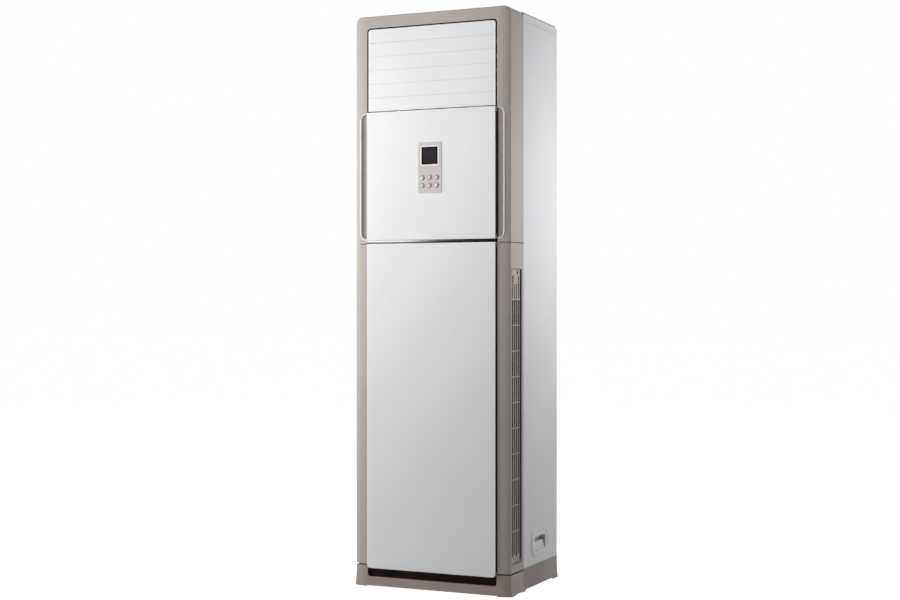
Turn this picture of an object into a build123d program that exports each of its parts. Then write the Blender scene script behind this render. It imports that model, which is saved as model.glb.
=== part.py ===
from build123d import *
import os
from math import atan2, cos, degrees, hypot, radians, sin

os.makedirs("parts", exist_ok=True)

# A floor standing air conditioner: a tall column with a beige front frame, white panels,
# a louvred air outlet at the top and intake grilles low down in both sides.
# X runs to the right, Y to the back and Z up. The origin is on the floor, under the
# middle of the whole cabinet. All lengths are in millimetres.

# ------------------------------------------------------------------ driving dimensions
height = 1825.0  # floor to the top of the front frame
casing_width = 538.0
casing_depth = 410.0  # face of the stiles to the back of the casing
panel_proud = 8.0  # the front panels stand this far ahead of the stiles
plate_proud = 1.5  # the control plate stands this far ahead of its panel
button_proud = 2.0  # and a button's dome this far ahead of the plate
side_flare = 3.5  # how far the base spreads at the floor, at the front and sides
back_flare = 4.0
wall = 3.0  # moulded walls
sheet = 1.2  # steel sheet

half_width = casing_width / 2
front_reach = panel_proud + plate_proud + button_proud
stile_y = -(casing_depth + back_flare - front_reach) / 2
back_y = stile_y + casing_depth
panel_y = stile_y - panel_proud

# Front frame, seen from above: a flat face, a shallow curve to a crisp crease, a flat side.
crease_y = stile_y + 9.0
curve_start_x = 232.0
frame_back_y = stile_y + 110.8
frame_corner_r = 20.0
frame_edge_r = 3.0
rear_corner_r = 3.0

# Heights of the joints between the covers.
plinth_top_z = 66.0
skirt_top_z = 71.4
frame_bottom_z = 71.0
seam_z = 1096.2
joint_gap = 0.8
seam_gap = 2.0
side_bottom_z = 72.0
hood_bottom_z = 1794.5
hood_top_z = 1816.0

# The well in the frame that the two front panels sit in.
well_half = 227.0
well_floor_y = stile_y + 14.0
well_floor = 4.0
well_opening_half = 205.0
panel_half = 223.5
panel_wall = 2.5
panel_corner_r = 12.0
lower_panel_bottom_z = 58.9
lower_panel_top_z = seam_z
middle_panel_bottom_z = 1106.6
middle_panel_top_z = 1516.2

# Outlet: its opening, the duct behind it, the louvres and the vanes.
outlet_half = 226.0
outlet_bottom_z = 1516.0
outlet_top_z = 1786.5
outlet_corner_r = 12.0
duct_wall = 2.5
louvre_count = 6
louvre_pitch = 43.88
louvre_top_z = 1782.3
louvre_height = 43.45
louvre_half = 221.0
louvre_thick = 2.5
louvre_face_y = stile_y - 1.0
louvre_pivot_y = louvre_face_y + 9.0
crank = 14.0
pin_r = 3.0
crank_pin_r = 2.0
running = 0.06  # radial clearance of a pin in its hole
vane_count = 5
vane_pitch = 84.0
vane_pivot_y = stile_y + 70.0
vane_depth = 60.0

# Control plate.
plate_width = 82.0
plate_bottom_z = 1252.8
plate_top_z = 1413.0
window_width = 56.0
window_bottom_z = 1343.0
window_top_z = 1398.4
button_r = 8.0
button_pitch_x = 25.0
button_rows_z = (1301.5, 1277.3)

# Intake grilles in the sides of the lower frame.
grille_front_y = stile_y + 12.0
grille_back_y = stile_y + 97.0
grille_bottom_z = 96.6
grille_top_z = 1014.0
grille_inset = 4.0
grille_depth = 9.0
ledge_depth = 10.0  # behind the grille the opening has a closed ledge, this far in
grille_pivot_x = half_width - 7.0
grille_pivot_z = grille_bottom_z + 3.5
first_slot_y = stile_y + 31.0
slot_width = 12.0
slot_pitch = 16.7
slot_count = 4
groove_width = 8.0
groove_depth = 3.5
grille_plate_thick = 4.5
rib_pitch = 80.0
rib_thick = 3.0
top_rib_z = 918.0
grille_gap = 1.0
grille_rear_gap = 6.0
grille_low_y = grille_front_y + grille_gap
grille_high_y = grille_back_y - grille_rear_gap

# Handles in the side panels.
handle_y = stile_y + 252.0
handle_z = 139.6
handle_width = 146.0
handle_height = 86.0
handle_corner_r = 30.0
pocket_width = 104.0
pocket_height = 54.0
pocket_depth = 17.0
handle_proud = 2.8

# Fan: a centrifugal wheel on an axis along Y, blowing upwards.
fan_x = -14.0
fan_z = 790.0
wheel_r = 165.0
wheel_front_y = stile_y + 143.0
wheel_back_y = stile_y + 289.0
scroll_front_y = stile_y + 120.0
scroll_back_y = stile_y + 303.0
blade_count = 32
shaft_r = 6.0

# Evaporator coil: it leans back, with its foot behind the electric box.
coil_half = 206.0
coil_foot_y = stile_y + 159.0
coil_head_y = stile_y + 366.0
coil_foot_z = 1145.0
coil_head_z = 1765.0
coil_thick = 44.0
tube_r = 4.76
tubes_per_row = 12
tube_pitch = 52.0
row_gap = 22.0


# ------------------------------------------------------------------------ helpers
def front_plane(y):
    """Upright plane at depth y, seen from the front: X to the right and Z up."""
    return Plane.XZ.offset(-y)


def side_plane(x):
    """Upright plane at x, seen from the right: Y to the back and Z up."""
    return Plane.YZ.offset(x)


def block(low, high, mode=Mode.ADD):
    """A plain block between two opposite corners."""
    size = [b - a for a, b in zip(low, high)]
    with Locations(low):
        Box(*size, align=(Align.MIN, Align.MIN, Align.MIN), mode=mode)


def rod(start, axis, radius, length, mode=Mode.ADD):
    """A round rod from a start point along one of the axes."""
    with Locations(Plane(origin=start, z_dir=axis)):
        Cylinder(radius, length, align=(Align.CENTER, Align.CENTER, Align.MIN), mode=mode)


def frame_plan(inset=0.0, back=frame_back_y):
    """Outline of the front frame from above, moved inwards by inset."""
    with BuildSketch() as plan:
        with BuildLine():
            front = Line((-curve_start_x, stile_y), (curve_start_x, stile_y))
            right = TangentArc(front @ 1, (half_width, crease_y), tangent=(1, 0))
            side = Line(right @ 1, (half_width, back))
            rear = Line(side @ 1, (-half_width, back))
            other_side = Line(rear @ 1, (-half_width, crease_y))
            left_end = front @ 0
            left = TangentArc(left_end, other_side @ 1, tangent=(-1, 0))
        make_face()
        if inset:
            offset(amount=-inset, kind=Kind.INTERSECTION)
    return plan.sketch


def rounded_panel(half, bottom, top, bottom_r, top_r):
    """Upright rectangle whose bottom and top corners have their own radii."""
    with BuildSketch() as face:
        with Locations((0, (bottom + top) / 2)):
            Rectangle(2 * half, top - bottom)
        for radius, end in ((bottom_r, 0), (top_r, -1)):
            if radius:
                fillet(face.vertices().group_by(Axis.Y)[end], radius)
    return face.sketch


def mirrored(part):
    """The same piece for the other side of the cabinet."""
    return mirror(part, about=Plane.YZ, mode=Mode.PRIVATE)


def save(part, name):
    """Label a finished piece and write its file."""
    part.label = name
    export_step(part, f"parts/{name}.step")


# ------------------------------------------------------------------------ base
def flare_at(z):
    """Outward spread of the base at a height: a concave sweep that grows to the floor."""
    return side_flare * ((plinth_top_z - z) / plinth_top_z) ** 2.2


def base_body(front, back, top):
    """The base as a solid, between two depths: the plan of the casing, spread downwards."""
    levels = [top] + [z for z in (plinth_top_z, 50.0, 34.0, 18.0, 6.0, 0.0) if z < top]
    with BuildPart() as body:
        for z in levels:
            with BuildSketch(Plane.XY.offset(z)) as plan:
                add(frame_plan(back=back_y))
                fillet(plan.vertices().group_by(Axis.Y)[-1], rear_corner_r)
                if z < plinth_top_z:
                    offset(amount=flare_at(z), kind=Kind.INTERSECTION)
        loft(ruled=True)
        far = 2 * casing_width
        block((-far, -far, -1), (far, front, height), mode=Mode.SUBTRACT)
        block((-far, back, -1), (far, far, height), mode=Mode.SUBTRACT)
    return body.part


recess_half = 224.0
recess_floor_z = 31.0
recess_depth = 18.0
recess_corner_r = 9.0
foot_length = 42.0
front_lift = 2.5
side_lift = 5.0

with BuildPart() as base_plinth:
    add(base_body(-casing_depth, frame_back_y - joint_gap, plinth_top_z))
    with BuildSketch(Plane.XY.offset(-1)):
        add(frame_plan(inset=wall, back=frame_back_y + 20))
    extrude(amount=plinth_top_z + 2, mode=Mode.SUBTRACT)
    # The toe recess under the lower panel is a shelf, a back wall and two ends.
    block(
        (-recess_half - wall, stile_y + 1, recess_floor_z - wall),
        (recess_half + wall, stile_y + recess_depth + wall, plinth_top_z),
    )
    with BuildSketch(front_plane(stile_y - 10)):
        add(rounded_panel(recess_half, recess_floor_z, plinth_top_z + 20, recess_corner_r, 0))
    extrude(amount=-(10 + recess_depth), mode=Mode.SUBTRACT)
    # Only the corners reach the floor.
    block(
        (-half_width + foot_length, -casing_depth, -1),
        (half_width - foot_length, frame_back_y, front_lift),
        mode=Mode.SUBTRACT,
    )
    block(
        (-casing_width, stile_y + foot_length, -1),
        (casing_width, frame_back_y - 12, side_lift / 2),
        mode=Mode.SUBTRACT,
    )
save(base_plinth.part, "base_plinth")

with BuildPart() as base_skirt:
    add(base_body(frame_back_y, casing_depth, skirt_top_z))
    block(
        (-half_width + wall, frame_back_y - 1, -1),
        (half_width - wall, back_y - wall, skirt_top_z + 1),
        mode=Mode.SUBTRACT,
    )
    block(
        (-casing_width, frame_back_y + 12, -1),
        (casing_width, back_y - foot_length, side_lift),
        mode=Mode.SUBTRACT,
    )
    block(
        (-half_width + foot_length, back_y - 20, -1),
        (half_width - foot_length, back_y + 20, side_lift),
        mode=Mode.SUBTRACT,
    )
save(base_skirt.part, "base_skirt")

pan_half = half_width - wall - 1.5
pan_front_y = stile_y + recess_depth + wall + 2
pan_back_y = back_y - wall - 1.0
pan_z = 2.0
pan_flange_z = 64.0
anchor_spacing_x = 440.0
anchor_spacing_y = 300.0
anchor_hole_r = 6.0
pan_centre_y = (pan_front_y + pan_back_y) / 2

with BuildPart() as base_pan:
    block((-pan_half, pan_front_y, pan_z), (pan_half, pan_back_y, pan_flange_z))
    edge = 1.5
    block(
        (-pan_half + edge, pan_front_y + edge, pan_z + edge),
        (pan_half - edge, pan_back_y - edge, pan_flange_z + 1),
        mode=Mode.SUBTRACT,
    )
    with Locations((0, pan_centre_y, pan_z + edge)):
        with GridLocations(anchor_spacing_x, anchor_spacing_y, 2, 2):
            Hole(anchor_hole_r)
    # Pressed ribs stiffen the floor of the pan.
    for x in (-120.0, 0.0, 120.0):
        block((x - 12, pan_front_y + 40, pan_z + edge), (x + 12, pan_back_y - 40, pan_z + edge + 4))
save(base_pan.part, "base_pan")


# ------------------------------------------------------------------------ front frames
def frame_solid(bottom, top, inset, corner_r):
    """The frame's plan raised between two heights, with its top corners rounded."""
    far = casing_width
    with BuildPart() as solid:
        with BuildSketch(Plane.XY.offset(bottom)):
            add(frame_plan(inset, back=frame_back_y + 2 * inset))
        extrude(amount=top - bottom)
        if corner_r:
            with BuildSketch(front_plane(-far)):
                add(rounded_panel(half_width - 0.9 * inset, bottom - 1, top, 0, corner_r - inset))
            extrude(amount=-2 * far, mode=Mode.INTERSECT)
    return solid.part


def frame_shell(bottom, top, corner_r):
    """The moulded shell of a frame: front and side walls, open at the back."""
    cavity_top = top - wall if corner_r else top + 1
    with BuildPart() as shell:
        add(frame_solid(bottom, top, 0.0, corner_r))
        if corner_r:
            top_edges = shell.edges().filter_by(lambda e: e.center().Z > top - corner_r)
            fillet(top_edges.filter_by(lambda e: e.center().Y < crease_y), frame_edge_r)
        add(frame_solid(bottom - 1, cavity_top, wall, corner_r), mode=Mode.SUBTRACT)
    return shell.part


# Finger scoops beside the middle panel: flat-bottomed hollows that run out over a rounded rim.
scoop_outer_x = 246.0
scoop_bottom_z = 1109.0
scoop_top_z = 1513.0
scoop_corner_r = 20.0
scoop_depth = 9.0
scoop_floor_x = well_half + 9.0
scoop_bevel = 2.5

with BuildPart() as scoop_cutter:
    with BuildSketch(Plane.XY.offset(scoop_bottom_z)):
        with BuildLine():
            mouth = Line((scoop_outer_x + 3.5, stile_y - 1), (well_half - 7, stile_y - 1))
            inner = Line(mouth @ 1, (well_half - 7, stile_y + scoop_depth))
            floor = Line(inner @ 1, (scoop_floor_x, stile_y + scoop_depth))
            hollow = TangentArc(floor @ 1, (scoop_outer_x - 1, stile_y + 3.4), tangent=(1, 0))
            rim = TangentArc(
                hollow @ 1, (scoop_outer_x + 3.5, stile_y + 1.6), tangent=hollow % 1
            )
            Line(rim @ 1, mouth @ 0)
        make_face()
    extrude(amount=scoop_top_z - scoop_bottom_z)
    outline_width = scoop_outer_x + 3 - well_half + 30
    outline_height = scoop_top_z - scoop_bottom_z
    outline_centre = (well_half - 30 + outline_width / 2, (scoop_bottom_z + scoop_top_z) / 2)
    with BuildSketch(front_plane(stile_y - 5)):
        with Locations(outline_centre):
            RectangleRounded(outline_width, outline_height, scoop_corner_r)
    extrude(amount=-30, mode=Mode.INTERSECT)
    # A bevel runs round the outline.
    with BuildSketch(front_plane(stile_y)):
        with Locations(outline_centre):
            RectangleRounded(
                outline_width + 2 * scoop_bevel,
                outline_height + 2 * scoop_bevel,
                scoop_corner_r + scoop_bevel,
            )
    extrude(amount=-scoop_bevel, taper=45)

band_half = 250.0


with BuildPart() as upper_front_frame:
    add(frame_shell(seam_z, height, frame_corner_r))
    # Thick bands behind the stiles carry the panel's well and the scoops.
    block(
        (-band_half, stile_y + wall - 0.5, seam_z),
        (band_half, well_floor_y + well_floor, outlet_bottom_z - duct_wall),
    )
    block(
        (-well_half, stile_y - 1, seam_z - 1),
        (well_half, well_floor_y, outlet_bottom_z - duct_wall + 1),
        mode=Mode.SUBTRACT,
    )
    block(
        (-well_opening_half, stile_y, middle_panel_bottom_z + 8),
        (well_opening_half, well_floor_y + 10, middle_panel_top_z - 18),
        mode=Mode.SUBTRACT,
    )
    block(
        (-well_half, stile_y - 1, outlet_bottom_z - duct_wall - 2),
        (well_half, stile_y + wall + 1, outlet_bottom_z + 1),
        mode=Mode.SUBTRACT,
    )
    add(scoop_cutter.part, mode=Mode.SUBTRACT)
    add(mirrored(scoop_cutter.part), mode=Mode.SUBTRACT)
    with BuildSketch(front_plane(stile_y - 5)):
        add(rounded_panel(outlet_half, outlet_bottom_z, outlet_top_z, 0, outlet_corner_r))
    extrude(amount=-20, mode=Mode.SUBTRACT)
save(upper_front_frame.part, "upper_front_frame")

hinge_y = stile_y + 6.0
hinge_z = 1084.0
hinge_pin_r = 2.5
hinge_x = 180.0
lug_thick = 3.0
lug_gap = 5.6
grille_lug = 2.8

with BuildPart() as lower_front_frame:
    add(frame_shell(frame_bottom_z, seam_z - seam_gap, 0.0))
    # A set-back tongue closes the groove above the base: a shelf inwards, then a wall down.
    for outer, floor_z in ((wall - 0.5, frame_bottom_z + wall), (3 * wall, plinth_top_z)):
        with BuildSketch(Plane.XY.offset(floor_z)):
            add(frame_plan(inset=outer, back=frame_back_y - wall + outer))
            add(frame_plan(inset=4 * wall, back=frame_back_y + 20), mode=Mode.SUBTRACT)
        extrude(amount=frame_bottom_z + 2 * wall - floor_z)
    block(
        (-well_half, stile_y - 1, plinth_top_z - 1),
        (well_half, stile_y + 3 * wall, seam_z),
        mode=Mode.SUBTRACT,
    )
    block(
        (-well_half - wall, stile_y + wall - 0.5, frame_bottom_z),
        (well_half + wall, well_floor_y + well_floor, seam_z - seam_gap),
    )
    block(
        (-well_half, stile_y - 1, frame_bottom_z - 1),
        (well_half, well_floor_y, seam_z),
        mode=Mode.SUBTRACT,
    )
    block(
        (-well_opening_half, stile_y, frame_bottom_z + 30),
        (well_opening_half, well_floor_y + 10, seam_z - 32),
        mode=Mode.SUBTRACT,
    )
    # Openings for the grilles, with a thin sill around them.
    for side in (-1, 1):
        inner_x, outer_x = sorted((side * (half_width - 12), side * (half_width + 1)))
        block(
            (inner_x, grille_front_y, grille_bottom_z),
            (outer_x, grille_back_y, grille_top_z),
            mode=Mode.SUBTRACT,
        )
        # Behind the grille's rear edge the opening is closed by a set-back ledge.
        ledge_x = half_width - ledge_depth
        inner_x, outer_x = sorted((side * (ledge_x - wall), side * ledge_x))
        block(
            (inner_x, grille_high_y + 1.5, grille_bottom_z - wall),
            (outer_x, grille_back_y + wall, grille_top_z + wall),
        )
        inner_x, outer_x = sorted((side * (ledge_x - wall), side * (half_width - wall + 0.5)))
        block(
            (inner_x, grille_back_y, grille_bottom_z - wall),
            (outer_x, grille_back_y + wall, grille_top_z + wall),
        )
        # Lugs behind its lower corners hold the pins that the grille tilts on.
        inner_x, outer_x = sorted((side * (grille_pivot_x - 5), side * (half_width - wall + 0.5)))
        for y in (grille_front_y - grille_lug, grille_high_y + 1.0):
            block(
                (inner_x, y, grille_pivot_z - 5), (outer_x, y + grille_lug, grille_pivot_z + 5)
            )
            rod(
                (side * grille_pivot_x, y, grille_pivot_z),
                (0, 1, 0),
                crank_pin_r + running,
                grille_lug + 1,
                mode=Mode.SUBTRACT,
            )
    # Pairs of lugs on the top rail hold the pins of the lower panel.
    for side in (-1, 1):
        for step in (-1, 1):
            x = side * hinge_x + step * (lug_gap + lug_thick) / 2
            block(
                (x - lug_thick / 2, hinge_y - 4.5, hinge_z - 5),
                (x + lug_thick / 2, well_floor_y + 0.5, hinge_z + 5),
            )
            rod(
                (x - lug_thick, hinge_y, hinge_z),
                (1, 0, 0),
                hinge_pin_r + running,
                2 * lug_thick,
                mode=Mode.SUBTRACT,
            )
save(lower_front_frame.part, "lower_front_frame")


# ------------------------------------------------------------------------ front panels
def panel_shell(bottom, top, bottom_r, top_r, depth):
    """A moulded panel: a glossy face with walls returned to the back."""
    with BuildPart() as shell:
        with BuildSketch(front_plane(panel_y)):
            add(rounded_panel(panel_half, bottom, top, bottom_r, top_r))
        extrude(amount=-depth)
        fillet(shell.faces().sort_by(Axis.Y)[0].edges(), 1.5)
        inner_r = [max(r - panel_wall, 0) for r in (bottom_r, top_r)]
        with BuildSketch(front_plane(panel_y + panel_wall)):
            add(
                rounded_panel(
                    panel_half - panel_wall, bottom + panel_wall, top - panel_wall, *inner_r
                )
            )
        extrude(amount=-depth, mode=Mode.SUBTRACT)
    return shell.part


plate_centre_z = (plate_bottom_z + plate_top_z) / 2
plate_height = plate_top_z - plate_bottom_z
plug_margin = 3.0
middle_depth = panel_proud + 2.8
boss_x = 214.0

with BuildPart() as middle_panel:
    add(panel_shell(middle_panel_bottom_z, middle_panel_top_z, 2.0, 0.0, middle_depth))
    # Posts that clip the panel to the rim of its well.
    for x in (-boss_x, boss_x):
        for z in (middle_panel_bottom_z + 4 + panel_wall, middle_panel_top_z - 12):
            rod((x, panel_y + 1, z), (0, 1, 0), 3.5, well_floor_y - panel_y - 1)
    with BuildSketch(front_plane(panel_y - 1)):
        with Locations((0, plate_centre_z)):
            RectangleRounded(plate_width - 2 * plug_margin, plate_height - 2 * plug_margin, 3)
    extrude(amount=-10, mode=Mode.SUBTRACT)
save(middle_panel.part, "middle_panel")

catch_x = 150.0
catch_z = 88.0
catch_front_y = stile_y - 1.0

with BuildPart() as lower_panel:
    add(panel_shell(lower_panel_bottom_z, lower_panel_top_z, panel_corner_r, 0.0, panel_proud + 6))
    for side in (-1, 1):
        x = side * hinge_x
        block((x - 2.5, panel_y + 1, hinge_z - 6), (x + 2.5, hinge_y + 4, hinge_z + 4))
        rod((x - 8, hinge_y, hinge_z), (1, 0, 0), hinge_pin_r, 16)
        # Pads that meet the catches at the foot of the frame.
        rod((side * catch_x, panel_y + 1, catch_z), (0, 1, 0), 9, catch_front_y - panel_y - 1.3)
save(lower_panel.part, "lower_panel")

with BuildPart() as panel_catches:
    for side in (-1, 1):
        x = side * catch_x
        block((x - 16, catch_front_y, catch_z - 8), (x + 16, well_floor_y, catch_z + 8))
        rod((x, catch_front_y - 1, catch_z), (0, 1, 0), 5, 3, mode=Mode.SUBTRACT)
save(panel_catches.part, "panel_catches")

# ------------------------------------------------------------------------ controls
plug_back_y = panel_y + 4.0
board_y = panel_y + 12.0
button_places = [
    (column * button_pitch_x, z) for z in button_rows_z for column in (-1, 0, 1)
]

with BuildPart() as control_plate:
    with BuildSketch(front_plane(panel_y - plate_proud)):
        with Locations((0, plate_centre_z)):
            RectangleRounded(plate_width, plate_height, 4)
    extrude(amount=-plate_proud)
    fillet(control_plate.faces().sort_by(Axis.Y)[0].edges(), 1.0)
    with BuildSketch(front_plane(panel_y)):
        with Locations((0, plate_centre_z)):
            margin = 2 * plug_margin + 0.4
            RectangleRounded(plate_width - margin, plate_height - margin, 3)
    extrude(amount=-(plug_back_y - panel_y))
    with BuildSketch(front_plane(panel_y - 5)):
        with Locations(*button_places):
            Circle(button_r + 0.3)
        with Locations((0, (window_bottom_z + window_top_z) / 2)):
            Rectangle(window_width, window_top_z - window_bottom_z)
    extrude(amount=-20, mode=Mode.SUBTRACT)
    for x in (-34.0, 34.0):
        for z in (plate_bottom_z + 10, plate_top_z - 9):
            rod((x, plug_back_y - 0.5, z), (0, 1, 0), 2.5, board_y - plug_back_y + 0.5)
save(control_plate.part, "control_plate")

window_gap = 0.2
with BuildPart() as display_window:
    block(
        (-window_width / 2 + window_gap, panel_y - plate_proud + 0.6, window_bottom_z + window_gap),
        (window_width / 2 - window_gap, panel_y + 3, window_top_z - window_gap),
    )
    fillet(display_window.faces().sort_by(Axis.Y)[0].edges(), 0.4)
save(display_window.part, "display_window")

button_travel = 1.2
dome_rise = 1.9
switch_top_y = plug_back_y + 2.0 + button_travel + 0.3

with BuildPart() as control_board:
    block((-37, board_y, plate_bottom_z + 5), (37, board_y + 1.6, plate_top_z - 5))
    block((-26, panel_y + 3.2, window_bottom_z + 1), (26, board_y, window_top_z - 1))
    for x, z in button_places:
        block((x - 6, switch_top_y + 1.5, z - 6), (x + 6, board_y, z + 6))
        rod((x, switch_top_y, z), (0, 1, 0), 1.75, 2)
save(control_board.part, "control_board")

for index, (x, z) in enumerate(button_places, start=1):
    with BuildPart() as button:
        tip_y = panel_y - plate_proud - button_proud
        collar_y = plug_back_y + 0.3
        with BuildSketch(Plane(origin=(x, 0, z), x_dir=(1, 0, 0), z_dir=(0, 0, 1))):
            with BuildLine():
                dome = EllipticalCenterArc((0, tip_y + dome_rise), button_r, dome_rise, 270)
                Polyline(
                    dome @ 1,
                    (button_r, collar_y),
                    (button_r + 1.5, collar_y),
                    (button_r + 1.5, collar_y + 1.7),
                    (0, collar_y + 1.7),
                    dome @ 0,
                )
            make_face()
        revolve(axis=Axis((x, 0, z), (0, 1, 0)))
    save(button.part, f"button_{index}")


# ------------------------------------------------------------------------ air outlet
def coil_face_y(z, ahead=coil_thick / 2):
    """Depth of the leaning coil's front face at a height."""
    lean = (coil_head_y - coil_foot_y) / (coil_head_z - coil_foot_z)
    return coil_foot_y + (z - coil_foot_z) * lean - ahead * hypot(1, lean)


louvre_z = [louvre_top_z - louvre_pitch * (k + 0.5) for k in range(louvre_count)]
vane_x = [vane_pitch * (k - (vane_count - 1) / 2) for k in range(vane_count)]
duct_front_y = stile_y + wall + 0.2
duct_bottom_z = outlet_bottom_z - duct_wall
duct_top_z = outlet_top_z + duct_wall
duct_clear = 10.0

with BuildPart() as outlet_duct:
    with BuildSketch(side_plane(-outlet_half - duct_wall)):
        with BuildLine():
            Polyline(
                (duct_front_y, duct_bottom_z),
                (coil_face_y(duct_bottom_z) - duct_clear, duct_bottom_z),
                (coil_face_y(duct_top_z) - duct_clear, duct_top_z),
                (duct_front_y, duct_top_z),
                close=True,
            )
        make_face()
    extrude(amount=2 * (outlet_half + duct_wall))
    block(
        (-outlet_half, -casing_depth, outlet_bottom_z),
        (outlet_half, casing_depth, outlet_top_z),
        mode=Mode.SUBTRACT,
    )
    for z in louvre_z:
        rod(
            (-casing_width / 2, louvre_pivot_y, z),
            (1, 0, 0),
            pin_r + running,
            casing_width,
            mode=Mode.SUBTRACT,
        )
    for x in vane_x:
        rod((x, vane_pivot_y, 1400), (0, 0, 1), pin_r + running, 500, mode=Mode.SUBTRACT)
save(outlet_duct.part, "outlet_duct")

lip = 2.0
lip_thick = 1.2
arm_thick = 2.5
crank_x = -outlet_half - duct_wall - 1.0
crank_thick = 2.5

for index, z in enumerate(louvre_z, start=1):
    bottom = z - louvre_height / 2
    top = z + louvre_height / 2
    with BuildPart() as louvre:
        with BuildSketch(front_plane(louvre_face_y)):
            corner = outlet_corner_r - 3 if index == 1 else 0
            add(rounded_panel(louvre_half, bottom, top, 0, corner))
        extrude(amount=-louvre_thick)
        fillet(louvre.faces().sort_by(Axis.Y)[0].edges(), 0.35)
        # A lip behind the lower edge hides the joint with the next blade.
        if index < louvre_count:
            block(
                (-louvre_half + 4, louvre_face_y + louvre_thick - 0.5, bottom + 1),
                (louvre_half - 4, louvre_face_y + louvre_thick + lip_thick + 0.4, bottom + 4),
            )
            block(
                (-louvre_half + 4, louvre_face_y + louvre_thick + 0.4, bottom - lip),
                (louvre_half - 4, louvre_face_y + louvre_thick + lip_thick + 0.4, bottom + 4),
            )
        for side in (-1, 1):
            inner_x = side * (louvre_half - arm_thick - 1)
            with BuildSketch(side_plane(inner_x)):
                with BuildLine():
                    Polyline(
                        (louvre_face_y + louvre_thick - 0.5, z - 12),
                        (louvre_pivot_y + 3.5, z - 3.5),
                        (louvre_pivot_y + 3.5, z + 3.5),
                        (louvre_face_y + louvre_thick - 0.5, z + 12),
                        close=True,
                    )
                make_face()
            extrude(amount=side * arm_thick)
            reach = outlet_half + duct_wall + (1.5 if side < 0 else 3.0) - abs(inner_x)
            rod((inner_x, louvre_pivot_y, z), (side, 0, 0), pin_r, reach)
        # Outside the duct a crank carries the pin of the link bar.
        with BuildSketch(side_plane(crank_x)):
            with Locations((louvre_pivot_y + crank / 2, z)):
                SlotCenterToCenter(crank, 2 * pin_r + 2)
        extrude(amount=-crank_thick)
        rod(
            (crank_x - crank_thick + 0.5, louvre_pivot_y + crank, z),
            (-1, 0, 0),
            crank_pin_r,
            6.5,
        )
    save(louvre.part, f"louvre_blade_{index}")

link_x = crank_x - crank_thick - 0.5
link_thick = 4.0

with BuildPart() as louvre_link_bar:
    block(
        (link_x - link_thick, louvre_pivot_y + crank - 4, louvre_z[-1] - 6),
        (link_x, louvre_pivot_y + crank + 4, louvre_z[0] + 6),
    )
    fillet(louvre_link_bar.edges().filter_by(Axis.X), 3)
    for z in louvre_z:
        rod(
            (link_x + 1, louvre_pivot_y + crank, z),
            (-1, 0, 0),
            crank_pin_r + running,
            link_thick + 2,
            mode=Mode.SUBTRACT,
        )
save(louvre_link_bar.part, "louvre_link_bar")

vane_thick = 2.0
vane_end_gap = 3.0
vane_crank_z = duct_top_z + 1.0
vane_crank_thick = 2.5

for index, x in enumerate(vane_x, start=1):
    with BuildPart() as vane:
        low_z = outlet_bottom_z + vane_end_gap
        high_z = outlet_top_z - vane_end_gap
        with BuildSketch(side_plane(x - vane_thick / 2)):
            with Locations((vane_pivot_y, (low_z + high_z) / 2)):
                RectangleRounded(vane_depth, high_z - low_z, 8)
        extrude(amount=vane_thick)
        rod((x, vane_pivot_y, duct_bottom_z - 3), (0, 0, 1), pin_r, duct_top_z + 4.5 - duct_bottom_z)
        with BuildSketch(Plane.XY.offset(vane_crank_z)):
            with Locations((x, vane_pivot_y + crank / 2)):
                SlotCenterToCenter(crank, 2 * pin_r + 2, rotation=90)
        extrude(amount=vane_crank_thick)
        rod((x, vane_pivot_y + crank, vane_crank_z), (0, 0, 1), crank_pin_r, vane_crank_thick + 5.5)
    save(vane.part, f"vane_{index}")

vane_link_z = vane_crank_z + vane_crank_thick + 0.5

with BuildPart() as vane_link_bar:
    block(
        (vane_x[0] - 6, vane_pivot_y + crank - 4, vane_link_z),
        (vane_x[-1] + 6, vane_pivot_y + crank + 4, vane_link_z + link_thick),
    )
    fillet(vane_link_bar.edges().filter_by(Axis.Z), 3)
    for x in vane_x:
        rod(
            (x, vane_pivot_y + crank, vane_link_z - 1),
            (0, 0, 1),
            crank_pin_r + running,
            link_thick + 2,
            mode=Mode.SUBTRACT,
        )
save(vane_link_bar.part, "vane_link_bar")

swing_motor_r = 14.0
swing_motor_length = 20.0
motor_offset = 12.0
swing_motor_places = (
    Plane(
        origin=(outlet_half + duct_wall + 0.5, louvre_pivot_y, louvre_z[2]),
        x_dir=(0, 1, 0),
        z_dir=(1, 0, 0),
    ),
    Plane(
        origin=(vane_x[0], vane_pivot_y, duct_bottom_z - 0.5),
        x_dir=(0, 1, 0),
        z_dir=(0, 0, -1),
    ),
)

with BuildPart() as swing_motors:
    # One motor turns the third louvre and the other turns the first vane.
    for place in swing_motor_places:
        with BuildSketch(place):
            with Locations((motor_offset, 0)):
                Circle(swing_motor_r)
                Rectangle(8, 46)
            Circle(pin_r + 0.2, mode=Mode.SUBTRACT)
        extrude(amount=2)
        with BuildSketch(place.offset(2)):
            with Locations((motor_offset, 0)):
                Circle(swing_motor_r)
            Circle(pin_r + 0.2, mode=Mode.SUBTRACT)
        extrude(amount=swing_motor_length - 2)
save(swing_motors.part, "swing_motors")

# ------------------------------------------------------------------------ grilles, filters
grille_low_z = grille_bottom_z + grille_gap
grille_high_z = grille_top_z - grille_gap
grille_outer_x = half_width - grille_inset
rib_count = 10
cell_low_z = top_rib_z + rib_thick / 2
latch_y = stile_y + 64.0

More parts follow.
